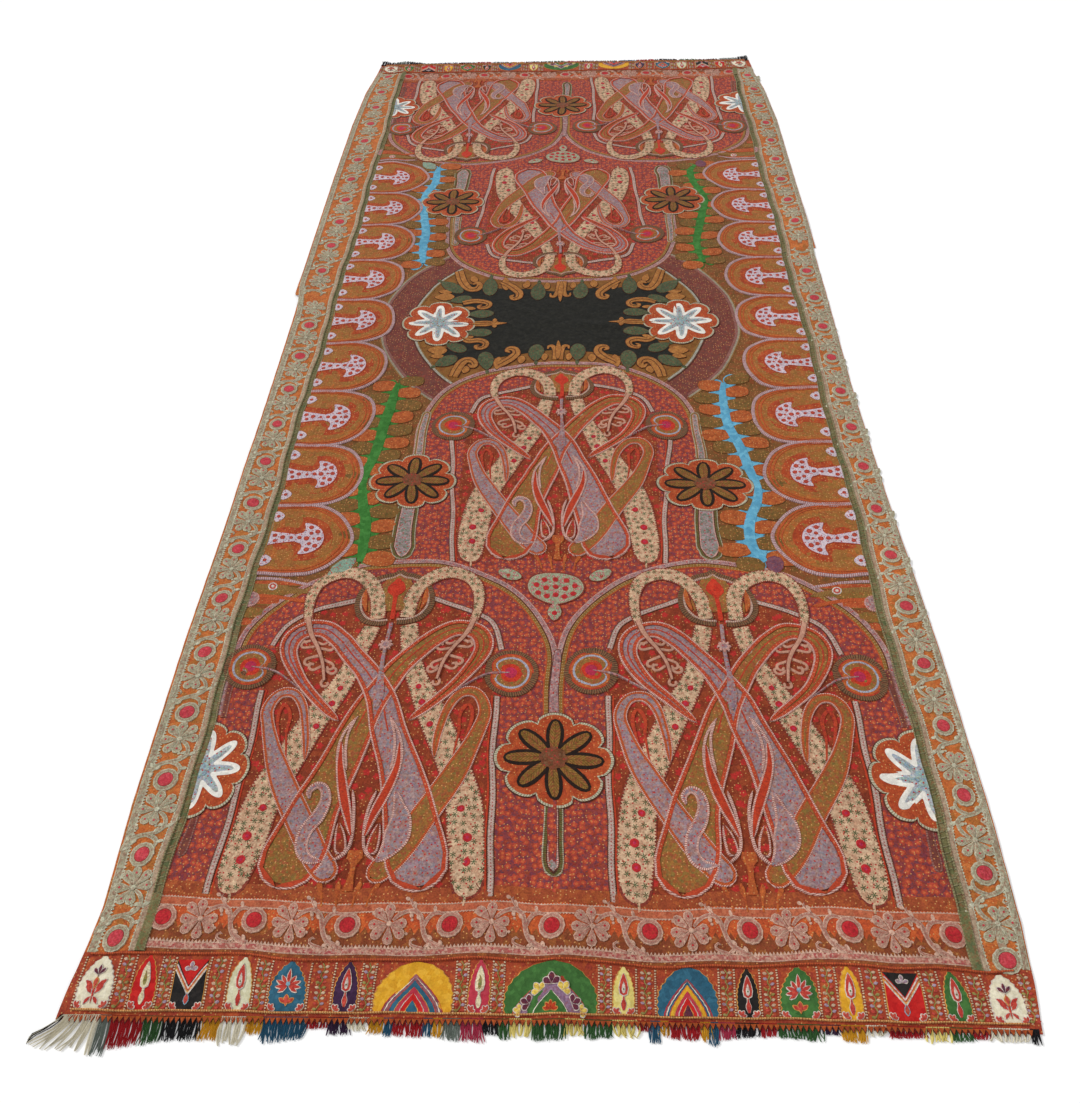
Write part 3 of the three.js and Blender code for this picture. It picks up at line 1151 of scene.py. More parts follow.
@dataclass(frozen=True)
class Oval:
    """An ellipse on the cloth."""

    x: float
    y: float
    half_width: float
    half_length: float

    def line(self, step: float = 0.004, start: float = 0.0, stop: float = 360.0) -> Array:
        """Places along it between two angles in degrees, anticlockwise from its right.

        Args:
            step: Distance between the places.
            start: The first angle.
            stop: The last.

        Returns:
            The places.
        """
        angle = np.radians(np.linspace(start, stop, 400))
        x = self.x + self.half_width * np.cos(angle)
        return even(np.stack([x, self.y + self.half_length * np.sin(angle)], 1), step)

    def covers(self, x: Array, y: Array) -> Array:
        """Whether each place lies inside it."""
        return ((x - self.x) / self.half_width) ** 2 + ((y - self.y) / self.half_length) ** 2 < 1


OUTER_OVAL = Oval(0.0, 1.663, 0.458, 0.424)
INNER_OVAL = Oval(0.0, 1.663, 0.372, 0.356)


@dataclass
class Panel:
    """A piece of the ground cloth, with its face, its back and its cut edges."""

    name: str
    node: str
    slot: str
    face: Finish
    back: Finish
    zones: Sequence[tuple[Callable[[Array, Array], Array], Finish]] = ()

    def build(self, places: Array, triangles: Array) -> Needlework:
        """Makes the shell of the panel.

        Args:
            places: Places on the cloth.
            triangles: The triangles of them that the panel covers.

        Returns:
            The panel, ready to be stitched on.
        """
        work = Needlework(self.name)
        used, corner = np.unique(triangles, return_inverse=True)
        corner = corner.reshape(-1, 3)
        xy = places[used]
        ends = np.concatenate([corner[:, (0, 1)], corner[:, (1, 2)], corner[:, (2, 0)]])
        _, where, times = np.unique(np.sort(ends, 1), axis=0, return_index=True, return_counts=True)
        rim = ends[where[times == 1]]
        middle = xy[corner].mean(1)
        slots = np.full(len(corner), work.slot(self.face))
        for covers, finish in self.zones:
            slots[covers(middle[:, 0], middle[:, 1])] = work.slot(finish)
        face = CLOTH.set_down(xy, 0.0)
        reverse = face - (0, 0, WALL)
        count = len(xy)
        sides = np.concatenate(
            [
                np.stack([rim[:, 1], rim[:, 0], rim[:, 0] + count], 1),
                np.stack([rim[:, 1], rim[:, 0] + count, rim[:, 1] + count], 1),
            ]
        )
        back = np.full(len(corner) + len(sides), work.slot(self.back))
        work.add(
            np.vstack([face, reverse]),
            np.vstack([corner, corner[:, ::-1] + count, sides]),
            np.concatenate([slots, back]),
            np.vstack([xy, xy]),
        )
        return work


class Cutter:
    """Cuts the whole cloth into its panels along its seams."""

    def __init__(self, pitch: float = 0.0115) -> None:
        """Keeps the size of the cloth's triangles and makes them.

        Args:
            pitch: How far apart the corners of the triangles lie.
        """
        self.pitch = pitch
        self.places, self.triangles = self._triangulate(self._seams())
        middle = self.places[self.triangles].mean(1)
        self.x, self.y = middle[:, 0], middle[:, 1]

    @staticmethod
    def _seams() -> list[Array]:
        """Every line that the cloth is cut along.

        Returns:
            A row of places for each.
        """
        ys = np.linspace(0, CLOTH_LENGTH, 420)
        rim_left = np.stack([CLOTH.left(ys), ys], 1)
        rim_right = np.stack([CLOTH.right(ys), ys], 1)
        seams = [rim_left, rim_right]
        seams += [np.stack([rim_left[end], rim_right[end]]) for end in (0, -1)]
        wide, inner = (-0.8, 0.8), (LEFT_GUARD[1], RIGHT_GUARD[0])
        level = [(NEAR_BAND, wide), (FAR_BAND, wide), (NEAR_CROSS, inner), (FAR_CROSS, inner)]
        level += [(y, (-0.8, LEFT_GUARD[1])) for y in BORDER_CUTS["left"]]
        level += [(y, (RIGHT_GUARD[0], 0.8)) for y in BORDER_CUTS["right"]]
        seams += [np.array([(a, y), (b, y)]) for y, (a, b) in level]
        level += [(y, inner) for y in FLANK_CUTS]
        upright = [(x, NEAR_BAND, FAR_BAND) for x in (*LEFT_GUARD, *RIGHT_GUARD)]
        upright += [(x, 0, NEAR_BAND) for x in CELL_JOINS]
        upright += [(-x, FAR_BAND, CLOTH_LENGTH) for x in CELL_JOINS]
        seams += [np.array([(x, a), (x, b)]) for x, a, b in upright]
        arches = (NEAR_LEFT, NEAR_RIGHT, MIDDLE_NEAR, MIDDLE_FAR, FAR_LEFT, FAR_RIGHT)
        for arch in arches:
            foot = NEAR_CROSS if arch.points > 0 else FAR_CROSS
            head = arch.head()
            seams.append(np.vstack([(head[0, 0], foot), head, (head[-1, 0], foot)]))
        return seams + [OUTER_OVAL.line(), INNER_OVAL.line()]

    @staticmethod
    def _number(grid: Array) -> Array:
        """One number for each cell of a grid."""
        return grid[:, 0] * 1_000_003 + grid[:, 1]

    def _triangulate(self, seams: Sequence[Array]) -> tuple[Array, Array]:
        """Fills the cloth with triangles that no seam crosses.

        Args:
            seams: Lines of places.

        Returns:
            The places, and three numbers for each triangle.
        """
        lines = [even(seam, self.pitch / 2) if len(seam) == 2 else seam for seam in seams]
        rows = np.arange(-self.pitch, CLOTH_LENGTH + 2 * self.pitch, self.pitch * 0.87)
        columns = np.arange(-0.74, 0.74, self.pitch)
        x, y = np.meshgrid(columns, rows)
        x = x + (np.arange(len(rows)) % 2)[:, None] * self.pitch / 2
        loose = np.stack([x.ravel(), y.ravel()], 1)
        cell = self.pitch * 0.4
        near = np.vstack([even(line, cell / 2) for line in lines])
        taken = [
            np.round(near / cell).astype(np.int64) + shift
            for shift in ((0, 0), (1, 0), (0, 1), (-1, 0), (0, -1))
        ]
        crowded = np.concatenate([self._number(grid) for grid in taken])
        free = ~np.isin(self._number(np.round(loose / cell).astype(np.int64)), crowded)
        points, edges = [loose[free]], []
        count = int(free.sum())
        for line in lines:
            points.append(line)
            edges += [(count + i, count + i + 1) for i in range(len(line) - 1)]
            count += len(line)
        found = delaunay_2d_cdt([Vector(p) for p in np.vstack(points)], edges, [], 0, 1e-6, False)
        places = np.array([tuple(v) for v in found[0]])
        triangles = np.array(found[2])
        a, b, c = (places[triangles[:, i]] for i in range(3))
        turn = (b - a)[:, 0] * (c - a)[:, 1] - (b - a)[:, 1] * (c - a)[:, 0]
        triangles[turn < 0] = triangles[turn < 0][:, ::-1]
        return places, triangles[np.abs(turn) > 1e-9]

    def regions(self) -> dict[str, Array]:
        """The triangles of each panel, by its name.

        Returns:
            Three point numbers for each triangle.
        """
        x, y = self.x, self.y
        chosen: dict[str, Array] = {}
        free = (x > CLOTH.left(y)) & (x < CLOTH.right(y)) & (y > 0) & (y < CLOTH_LENGTH)

        def take(name: str, mask: Array) -> None:
            """Gives a panel the free triangles of a mask.

            Args:
                name: The panel's name.
                mask: One truth for each triangle.
            """
            nonlocal free
            chosen[name] = self.triangles[mask & free]
            free = free & ~mask

        joins = (-1.0, *CELL_JOINS, 1.0)
        for i, (a, b) in enumerate(zip(joins, joins[1:])):
            take(f"near_end_panel_{i + 1:02d}", (y < NEAR_BAND) & (x > a) & (x < b))
            take(f"far_end_panel_{17 - i:02d}", (y > FAR_BAND) & (x < -a) & (x > -b))
        outer = {"left": (-1.0, LEFT_GUARD[0]), "right": (RIGHT_GUARD[1], 1.0)}
        guards = {"left": LEFT_GUARD, "right": RIGHT_GUARD}
        for side in ("left", "right"):
            cuts = (0.0, *BORDER_CUTS[side], CLOTH_LENGTH)
            for number, (a, b) in enumerate(zip(cuts, cuts[1:]), 1):
                for kind, (low, high) in (("border", outer[side]), ("guard", guards[side])):
                    take(f"{side}_{kind}_{number}", (y > a) & (y < b) & (x > low) & (x < high))
        take("near_cross_border", y < NEAR_CROSS)
        take("far_cross_border", y > FAR_CROSS)
        take("near_arched_field", NEAR_LEFT.covers(x, y) | NEAR_RIGHT.covers(x, y))
        take("far_arched_field", FAR_LEFT.covers(x, y) | FAR_RIGHT.covers(x, y))
        take("middle_near_arch", MIDDLE_NEAR.covers(x, y))
        take("middle_far_arch", MIDDLE_FAR.covers(x, y))
        take("centre_field", INNER_OVAL.covers(x, y))
        take("left_ring", OUTER_OVAL.covers(x, y) & (x < 0.0))
        take("right_ring", OUTER_OVAL.covers(x, y))
        for number, (a, b) in enumerate(zip((0.0, *FLANK_CUTS), (*FLANK_CUTS, CLOTH_LENGTH)), 1):
            take(f"left_flank_{number}", (x < 0.004) & (y > a) & (y < b))
            take(f"right_flank_{number}", (x > 0.004) & (y > a) & (y < b))
        return chosen


FLANK_CUTS = (1.185, 2.145)
BORDER_CUTS = {"left": (0.932, 1.78, 2.505), "right": (1.042, 2.0, 2.615)}
CELLS = (  # middle and width of each coloured panel of an end border, and its cloth
    (-0.645, 0.048, "cream"), (-0.575, 0.034, "red"), (-0.51, 0.046, "black"), (-0.435, 0.034, "cream"),
    (-0.365, 0.052, "blue"), (-0.282, 0.034, "purple"), (-0.185, 0.11, "yellow"),
    (-0.092, 0.03, "rose"), (0.01, 0.13, "green"), (0.113, 0.03, "lemon"), (0.203, 0.084, "blue"),
    (0.288, 0.03, "black"), (0.36, 0.052, "green"), (0.432, 0.03, "yellow"), (0.507, 0.052, "red"),
    (0.58, 0.034, "green"), (0.649, 0.046, "cream"),
)
CELL_JOINS = tuple((a[0] + a[1] / 2 + b[0] - b[1] / 2) / 2 for a, b in zip(CELLS, CELLS[1:]))


# ---------------------------------------------------------------- the shawl's own finishes
RED_DOT = Sprig("ac2c28", 0.0066, 0.0225, petals=5, depth=0.14, scatter=0.9)
TINY_RED = Sprig("a83430", 0.0016, 0.0105, petals=4, depth=0.1, scatter=1.0, share=0.8, shift=0.013)
PALE_FLECK = Sprig("c49058", 0.0011, 0.0066, petals=4, depth=0.1, scatter=1.0, share=0.45, shift=0.021)
GREEN_FLOWER = Sprig("3f5232", 0.0054, 0.015, petals=6, depth=0.42, scatter=0.6)
ROSE_FLOWER = Sprig("a44030", 0.0058, 0.0128, "bc5c38", petals=5, depth=0.1, scatter=0.7)
PURPLE_LOOP = Sprig("663c46", 0.0074, 0.0128, petals=3, depth=0.26, scatter=0.7)

BACK = Wool("reverse", "7b4433 8f5440 6a4a3a 94604a", 0.004)
MILLEFLEUR = Wool(
    "millefleur", "84332a 703440 8a3a30 7a3a40 92402c", 0.005, (PURPLE_LOOP, ROSE_FLOWER, PALE_FLECK)
)
RUST = Wool("rust_ground", "84371f 74301e 8e4024", 0.009, (RED_DOT, PALE_FLECK))
LILAC = Wool("lilac", "967a7a 827c84 a4867f 866e7c 9a6c60", 0.0042, (TINY_RED,))
OLIVE = Wool("olive", "8e602e 806632 98562c 766232 945030", 0.0045, (PALE_FLECK,))
CREAM = Wool("cream", "c2a284 ba9678 ccb090 b48c70", 0.005, (TINY_RED, GREEN_FLOWER))
SCARLET = Wool("scarlet", "a83a24 b04426 9c3226", 0.004)
ORANGE = Wool("orange", "a8542a b05e2c a04a28", 0.005, (PALE_FLECK,))
CRIMSON = Wool("crimson", "ac242c b82c30 a02028", 0.003)
MAGENTA = Wool("magenta", "b02c4c a02844", 0.003)
PINK_RED = Wool("pink_red", "b83c44 b03440 c04850", 0.003)
FLAME = Wool("flame", "b03c20 a63420", 0.003)
SPADE = Wool("spade", "b83420 c03c26 ae2c1e", 0.003)
TWIG = Broadcloth("coral_twig", "bc8e78 ae7e6a", 0.003)

BEAD = Line("beads", "d0aca0", "8e4a40", 0.003, 0.66)
PALE_BEAD = Line("pale_beads", "b8a090", "8a5444", 0.0036, 0.7)
DASHED = Line("dashed_orange", "c4835c", "ac4026", 0.0085, dot=0.001)
ORANGE_LINE = Line("orange_line", "b4562c", "9a4024", 0.003, 0.7)
OLIVE_LINE = Line("olive_line", "8c6a38", "6e4a26", 0.003, 0.7)
# dark stitched lines, and round the stars a painted shadow line
DARK_LINE_AND_SHADOW = Line("dark_line_and_shadow", "5a3426", "3c241e", 0.003, 0.6)
SPECKLED = Wool("speckled_lilac", "9c807c 866468 ac9690 7c5c62 a87470", 0.0034, (TINY_RED,))
PINK_LINE = Line("pink_line", "c49c94", "94504a", 0.0034, 0.7)
ARCH_DOTS = Line("arch_dots", "a04a44", "b09a90", 0.0058, dot=0.0012)
OLIVE_DOTS = Line("olive_dots", "b49468", "84602c", 0.0062, dot=0.001)
RIBBED = Line("ribbed_brown", "75583c", "4a3226", 0.0046, 0.6)
GREY_LINE = Line("grey_line", "9c9480", "6c5c4c", 0.0034, 0.7)
SKY_LINE = Line("sky_line", "a0a6b2", "84748a", 0.003, 0.8)
SEAM = Wool("couched_edge", "7a3428 6a2c26 8a4030", 0.003)
VINE_THREAD = Veined("vine_thread", "b08c7a a47e6e ba9a86 a07a6c", 0.0035, vein="9c5248")
SIDE_THREAD = Veined("side_thread", "a8a48a 9c9c80 b2aa92 94967c", 0.0035, vein="8c6452")
VINE_RIM = Wool("vine_rim", "c09c88 b8927e c8a692", 0.003)
VINE_SPECKS = Wool("vine_specks", "b48472 c09a88 9c4848 a86a5c", 0.0032)
VINE_BAND = Wool("vine_band", "b05e40 b4684a a8543a", 0.006)
SIDE_RIM = Wool("side_rim", "b4b29a acaa90 bebca6", 0.003)
SIDE_SPECKS = Wool("side_specks", "9e9a80 a8a48c 8a7460 9a8c74", 0.0035)
SIDE_BAND = Wool("side_band", "a48c74 ac9880 98806a", 0.006)
CROSS_UPPER = Wool("cross_upper", "b8522a b04a28 c05c2e", 0.01, (PALE_FLECK,))
CROSS_LOWER = Wool("cross_lower", "84462a 783c24 8e522a", 0.009, (PALE_FLECK,))
SIDE_GROUND = Wool("side_ground", "b86632 ae5a2c c0703a a0622e", 0.01, (PALE_FLECK,))
GUARD_GROUND = Wool("guard_ground", "6e6844 626440 7c7250 5c6442", 0.012)
GUARD_TICK = Wool("guard_tick", "8c8664")
GUARD_EDGE = Line("guard_edge", "8a8460", "6c6648", 0.0046, 0.6)
STRIP_GROUND = Wool("strip_ground", "9c4228 90382a a84e2c", 0.007, (PALE_FLECK,))
HEM_CORD = Line("hem_cord", "c89a60", "a4582c", 0.0036, 0.7)
HEM_WRAP = Wool("hem_wrap", "98461f a04e24 8a3c1e", 0.004)
TOP_CORD = Line("top_cord", "b4542e", "8c3a28", 0.0036, 0.7)
DOT_COLUMN = Line("dot_column", "ccb898", "84402a", 0.0036, dot=0.0009)

PALE_THREAD = Wool("pale_thread", "c8bcb0 b8aca8 d0c4b4", 0.003)
SAND_THREAD = Wool("sand_thread", "b8a084 ac947c c4ac90", 0.003)
ROSE_THREAD = Wool("rose_thread", "b04438 a83c34 ba5040", 0.003)
CREAM_THREAD = Wool("cream_thread", "d8cca8 ccc09c", 0.003)
OLIVE_THREAD = Wool("olive_thread", "8c8450 84783c", 0.003)
GREEN_THREAD = Wool("green_thread", "5c7048 54683c", 0.003)
SKY_THREAD = Wool("sky_thread", "7ca0ac 6c94a4", 0.003)
LILAC_THREAD = Wool("lilac_thread", "a08c9c 94808c", 0.003)
PLUM_THREAD = Wool("plum_thread", "54283a 602c3c", 0.003)
LEMON_THREAD = Wool("lemon_thread", "d8bc5c ccac48", 0.003)
# painted shade: dark points that stand for the shadows in the gaps under the hem wraps
HEM_GAP_SHADE = Wool("painted_hem_gap_shade", "33262a 3c2c28", 0.003)
WHITE_THREAD = Wool("white_thread", "e0dac8 d4ccba", 0.003)
OCHRE = Wool("ochre_thread", "c48a44 b87c3c cc9850", 0.003)
RED_MOTIF = Wool("red_motif", "b03a30 a83430 b8483a", 0.003)

IVORY_CLOTH = Broadcloth("ivory_cloth", "dad2b8 d2c8ac e0d8c0", 0.006)
RED_CLOTH = Broadcloth("red_cloth", "b8201e c02824 ac1c1c", 0.006)
BLACK_CLOTH = Broadcloth("black_cloth", "24211f 2a2624 1e1c1c", 0.006)
PALE_CLOTH = Broadcloth("pale_cloth", "c8c4a4 c0ba98 d0ccb0", 0.006)
BLUE_CLOTH = Broadcloth("blue_cloth", "2c5a70 2a5266 34647a", 0.006)
PURPLE_CLOTH = Broadcloth("purple_cloth", "3c2440 442a48 362038", 0.006)
YELLOW_CLOTH = Broadcloth("yellow_cloth", "d09a28 c88e22 d8a434", 0.006)
ROSE_CLOTH = Broadcloth("rose_cloth", "b03444 a82e3e b83e4c", 0.006)
GREEN_CLOTH = Broadcloth("green_cloth", "3c6432 365c2c 447038", 0.006)
LEMON_CLOTH = Broadcloth("lemon_cloth", "d8c878 d0bc68 ded084", 0.006)
MAUVE_CLOTH = Wool("mauve_cloth", "84545c 7c4c54 8c5c62", 0.005)
LILAC_CLOTH = Wool("lilac_cloth", "866a80 7c6078 907488", 0.005)
PLUM_CLOTH = Wool("plum_cloth", "5c2c3c 542838", 0.005)

class Niche(Enum):
    """What stands in a coloured panel of an end border."""

    CYPRESS = "cypress"
    BOUQUET = "bouquet"
    PALM = "palm"
    CHEVRON = "chevron"
    NESTED = "nested"
    GARDEN = "garden"


CELL_DRESS = (  # cloth, niche and thread of each coloured panel, from left to right
    (IVORY_CLOTH, Niche.BOUQUET, RED_MOTIF), (RED_CLOTH, Niche.CYPRESS, CREAM_THREAD),
    (BLACK_CLOTH, Niche.CHEVRON, RED_CLOTH), (PALE_CLOTH, Niche.CYPRESS, RED_MOTIF),
    (BLUE_CLOTH, Niche.PALM, RED_MOTIF), (PURPLE_CLOTH, Niche.CYPRESS, RED_MOTIF),
    (YELLOW_CLOTH, Niche.NESTED, RED_MOTIF), (ROSE_CLOTH, Niche.CYPRESS, CREAM_THREAD),
    (GREEN_CLOTH, Niche.GARDEN, RED_MOTIF), (LEMON_CLOTH, Niche.CYPRESS, RED_MOTIF),
    (BLUE_CLOTH, Niche.NESTED, RED_MOTIF), (BLACK_CLOTH, Niche.CYPRESS, RED_MOTIF),
    (GREEN_CLOTH, Niche.PALM, RED_MOTIF), (YELLOW_CLOTH, Niche.CYPRESS, RED_MOTIF),
    (RED_CLOTH, Niche.CHEVRON, BLACK_CLOTH), (GREEN_CLOTH, Niche.CYPRESS, RED_MOTIF),
    (IVORY_CLOTH, Niche.BOUQUET, RED_MOTIF),
)

RED_RING = Sprig("a8343a", 0.0026, 0.009, "d0b0b4", petals=5, depth=0.1, scatter=0.8)
BLUE_SPECK = Sprig("6c7090", 0.0011, 0.006, petals=4, depth=0.1, shift=0.017)
FROSTED = Broadcloth("frosted_lilac", "c4b2b8 baa8b2 ccbcc2", 0.004, (BLUE_SPECK, TINY_RED))
CRIMSON_EDGE = Wool("madder_edge", "a4402c 9c3828", 0.004)
NICHE_GROUND = Wool("niche_ground", "a2602c a85a2a 9a642e", 0.009, (PALE_FLECK,))
NICHE_OLIVE = Wool("niche_olive", "946030 8c642e 9c5c2e", 0.008, (PALE_FLECK,))
NICHE_CORE = Wool("niche_core", "a04220 983a20 a84c26", 0.008, (PALE_FLECK,))
LILAC_BEADS = Line("lilac_beads", "b2999c", "865650", 0.0042, 0.7)
FLANK_GROUND = Wool("flank_ground", "704c26 684824 784e2a 7c4624", 0.012, (PALE_FLECK,))
ORANGE_LEAF = Wool("orange_leaf", "a4542a ac5c2e 984a24", 0.006, (PALE_FLECK,))
OLIVE_LEAF = Wool("olive_leaf", "72562a 6a5028 7c582a 624e26", 0.006, (PALE_FLECK,))
GREEN_RIVER = Broadcloth("green_river", "38702e 306628 407a36", 0.008)
BLUE_RIVER = Broadcloth("blue_river", "5c9cb8 5090b0 68a8c2", 0.008)
RING_MAUVE = Wool("ring_mauve", "6c3c32 643a34 744034 6a3430", 0.009, (PALE_FLECK,))
GOLD_GROUND = Wool("gold_ground", "7c5426 845a2a 744c22", 0.009)
INK = Broadcloth("ink", "201f1b 1c1c19 25241f", 0.006)
GOLD = Wool("gold", "a06a36 94602e a8723a", 0.005)
LEAF_RIM = Wool("leaf_rim", "5c4020 664620", 0.004)
LEAF_GREEN = Wool("leaf_green", "46523a 3e4a34 4e5a3e", 0.005)
UMBER_LINE = Wool("umber_line", "4a2c1c 40261c", 0.004)
PEARL_LINE = Line("pearl_line", "a8a698", "7c7c70", 0.0034, 0.7)
FOOT_GROUND = Wool("foot_ground", "96482a 8a4026 a0522c", 0.007, (PALE_FLECK,))
CORNER_ORANGE = Wool("corner_orange", "a84e2a b05630 9c4424", 0.006, (PALE_FLECK,))
CORNER_OLIVE = Wool("corner_olive", "80602e 8a5a2a 76602e", 0.006, (PALE_FLECK,))
MAUVE_LINE = Line("mauve_line", "8a6058", "6c4038", 0.004, 0.7)
STAR_LINE = Line("star_line", "b4b098", "80785c", 0.0046, 0.7)
STAR_GROUND = Wool("star_ground", "a44624 9c3e22 ac502a", 0.006, (PALE_FLECK,))
WHITE_PETAL = Broadcloth("white_petal", "dedad0 d4d0c8 e6e2d8", 0.005)
GREY_PETAL = Wool("grey_petal", "a2a8ae 8c98a8 b4b8b8 96a49c", 0.0034, (TINY_RED,))
BLACK_PETAL = Broadcloth("black_petal", "291c16 211714", 0.004)
BROWN_PETAL = Veined("brown_petal", "82602c 785626 8c6a34 8a5030", 0.004, (), "4a3416", 0.0062, 0.72)
SKY_SPRAY = Wool("sky_spray", "86a0a4 94a894 7c94a8 a0b0ac", 0.003, (TINY_RED,))
STAR_HEART = Wool("star_heart", "6c4228 745038 5e3a22 7c4430", 0.004, (TINY_RED,))
PALE_GREEN = Veined("pale_green", "98a084 8c947a a6a890", 0.005, (RED_RING,), "6c6a4c", 0.005, 0.4)
MOSS_LILAC = Wool("moss_lilac", "8a7e7a 707c70 967e80 9c8a8a 686c60", 0.004, (TINY_RED,))
MOSS_LINE = Line("moss_line", "5e5a30", "483c20", 0.0034, 0.7)
GREEN_BEADS = Line("green_beads", "a8a48c", "7c6c54", 0.0034, 0.7)
TEAL_PATCH = Wool("teal_patch", "7c9684 708c80 889e88", 0.005, (TINY_RED,))
PURPLE_PATCH = Wool("purple_patch", "6c4454 643e50 784e58", 0.005)


# ---------------------------------------------------------------- the arched compositions
@dataclass
class Dome:
    """One arched composition of long hooked cones, laid in its arch.

    Its own X runs across from the middle, and its points are given with how far they lie
    down from the tip of the arch.
    """

    name: str
    panel: str  # that it is stitched on
    place: Place
    arch: Arch
    left_heart: Point = (-0.245, 0.26)
    right_heart: Point = (0.235, 0.27)
    close: float = 0.0  # how much nearer its figures lie to its crown
    leg: float = 0.115  # how far its crown lines run down past the spring
    rows: float = 0.007
    flare: float = 0.0  # how much wider its inner lines stand at the hearts than at its foot
    work: Needlework = field(init=False)

    def _down(self, rows: Sequence[Sequence[float]], side: int = 1) -> list[tuple[float, ...]]:
        """Rows of the dome's own points on its place, swapped left to right where the side is -1."""
        drawn = [self.close * min(max((row[1] - 0.05) / 0.12, 0), 1) - row[1] for row in rows]
        return [(side * row[0], y, *row[2:]) for row, y in zip(rows, drawn)]

    def _at(self, x: float, down: float) -> Place:
        """The place of a small motif in the dome."""
        return self.place.at(*self._down([(x, down)])[0])

    def build(self) -> Piece:
        """Stitches the whole composition.

        Returns:
            The piece.
        """
        self.work = Needlework(self.name)
        self._arches()
        for side in (-1, 1):
            self._cream_band(side)
            self._coral(side)
        self._hooks()
        self._cones()
        self._middle()
        self._horseshoe()
        self._heart(self.left_heart, 1)
        self._heart(self.right_heart, -1)
        return self.work.make()

    def inner_ground(self) -> Array:
        """The outline of the ground under the inner dotted arch, on the cloth.

        Returns:
            Its corners.
        """
        left = mm((-215, 665), (-215, 230), (-190, 158), (-150, 130), (-80, 103))
        right = mm((80, 103), (150, 145), (185, 180), (215, 250), (215, 665))
        return self.place(self._down(left + right))

    def _arches(self) -> None:
        """Stitches the crown line and the dotted inner arch."""
        lanes = (
            (PINK_LINE, 0.0022), (SPECKLED, 0.0062), (PINK_LINE, 0.0016), (DARK_LINE_AND_SHADOW, 0.0024),
            (OLIVE_DOTS, 0.0068), (ORANGE_LINE, 0.002),
        )
        foot = self.arch.spring - self.arch.points * self.leg
        inset = 0.0
        for finish, lane in lanes:
            middle = self.arch.head(0.02, inset + lane / 2)
            rows = np.vstack([(middle[0, 0], foot), middle, (middle[-1, 0], foot)])
            spine = np.column_stack([rows, np.zeros(len(rows))])
            self.work.band(spine, ((finish, lane / 2),), None, 1, ends=CUT_ENDS, step=0.012)
            inset += lane
        for side, heart in ((-1, self.left_heart), (1, self.right_heart)):
            flare = self.flare
            below = [(0.213 + flare, heart[1] + 0.05, 0), (0.213 + 0.5 * flare, 0.45, 0), (0.216, 0.678, 0)]
            crown = mm((192, 160, 0), (155, 133, 0), (100, 112, 0), (72, 102, 0))
            above = [(0.212, heart[1] - 0.05, 0), *crown]
            for rows in (below, above):
                spine = self._down([(x, down, 0.0036) for x, down, _ in rows], side)
                edged = ((DARK_LINE_AND_SHADOW, 0.0012), (PALE_BEAD, 0.001))
                self.work.band(spine, edged, ARCH_DOTS, 2, self.place, CUT_ENDS, 0.012)
            lines = self._down([(0.204 + flare, heart[1] + 0.05, 0), (0.2075, 0.678, 0)], side)
            self.work.band(lines, ((FLAME, 0.0013),), None, 2, self.place, CUT_ENDS, 0.012)

    def _cream_band(self, side: int) -> None:
        """Stitches the flowered cream band that climbs, bows over the head and ends in the coral.

        Args:
            side: -1 for the left, and 1 for the right.
        """
        low = mm(
            (180, 655, 22), (176, 600, 27), (168, 530, 27), (135, 430, 24), (88, 330, 20), (62, 270, 16),
            (42, 200, 14), (34, 165, 13),
        )
        high = mm(
            (28, 148, 12), (33, 100, 13), (50, 65, 13), (78, 43, 13), (110, 38, 12), (142, 52, 11),
            (160, 85, 9), (162, 125, 7), (153, 160, 5), (143, 190, 3),
        )
        for rows, level, first, step, tooth in (
            (low, 3, Ends.ROUND, 0.003, 0.0036), (high, 7, Ends.CUT, 0.0027, 0.0024)
        ):
            spine = self._down(rows, side)
            ends = (first, Ends.CUT if level < 5 else Ends.POINTED)
            under = [(x, y, half + tooth + 0.0008) for x, y, half in spine]
            self.work.band(under, (), SEAM, level - 1, self.place, ends, 0.008)
            self.work.band(spine, (), CREAM, level, self.place, ends, step * self.rows / 0.007, tooth)
        stem = [(0.178, 0.672, 0.0022), (0.178, 0.69, 0.0016)]
        self.work.band(self._down(stem, side), (), CREAM, 3, self.place, CUT_TO_POINT, 0.004)
        for x, down, radius in mm(
            (176, 622, 7.5), (178, 583, 7.8), (163, 533, 6.5), (100, 378, 6), (80, 332, 6.5),
            (71, 300, 5.5),
        ):
            disc = (Ring(radius, CRIMSON, 0.1, 0.6), Ring(radius * 0.35, MAGENTA))
            self.work.rosette(disc, 5, self._at(side * x, down), 6, steps=3)

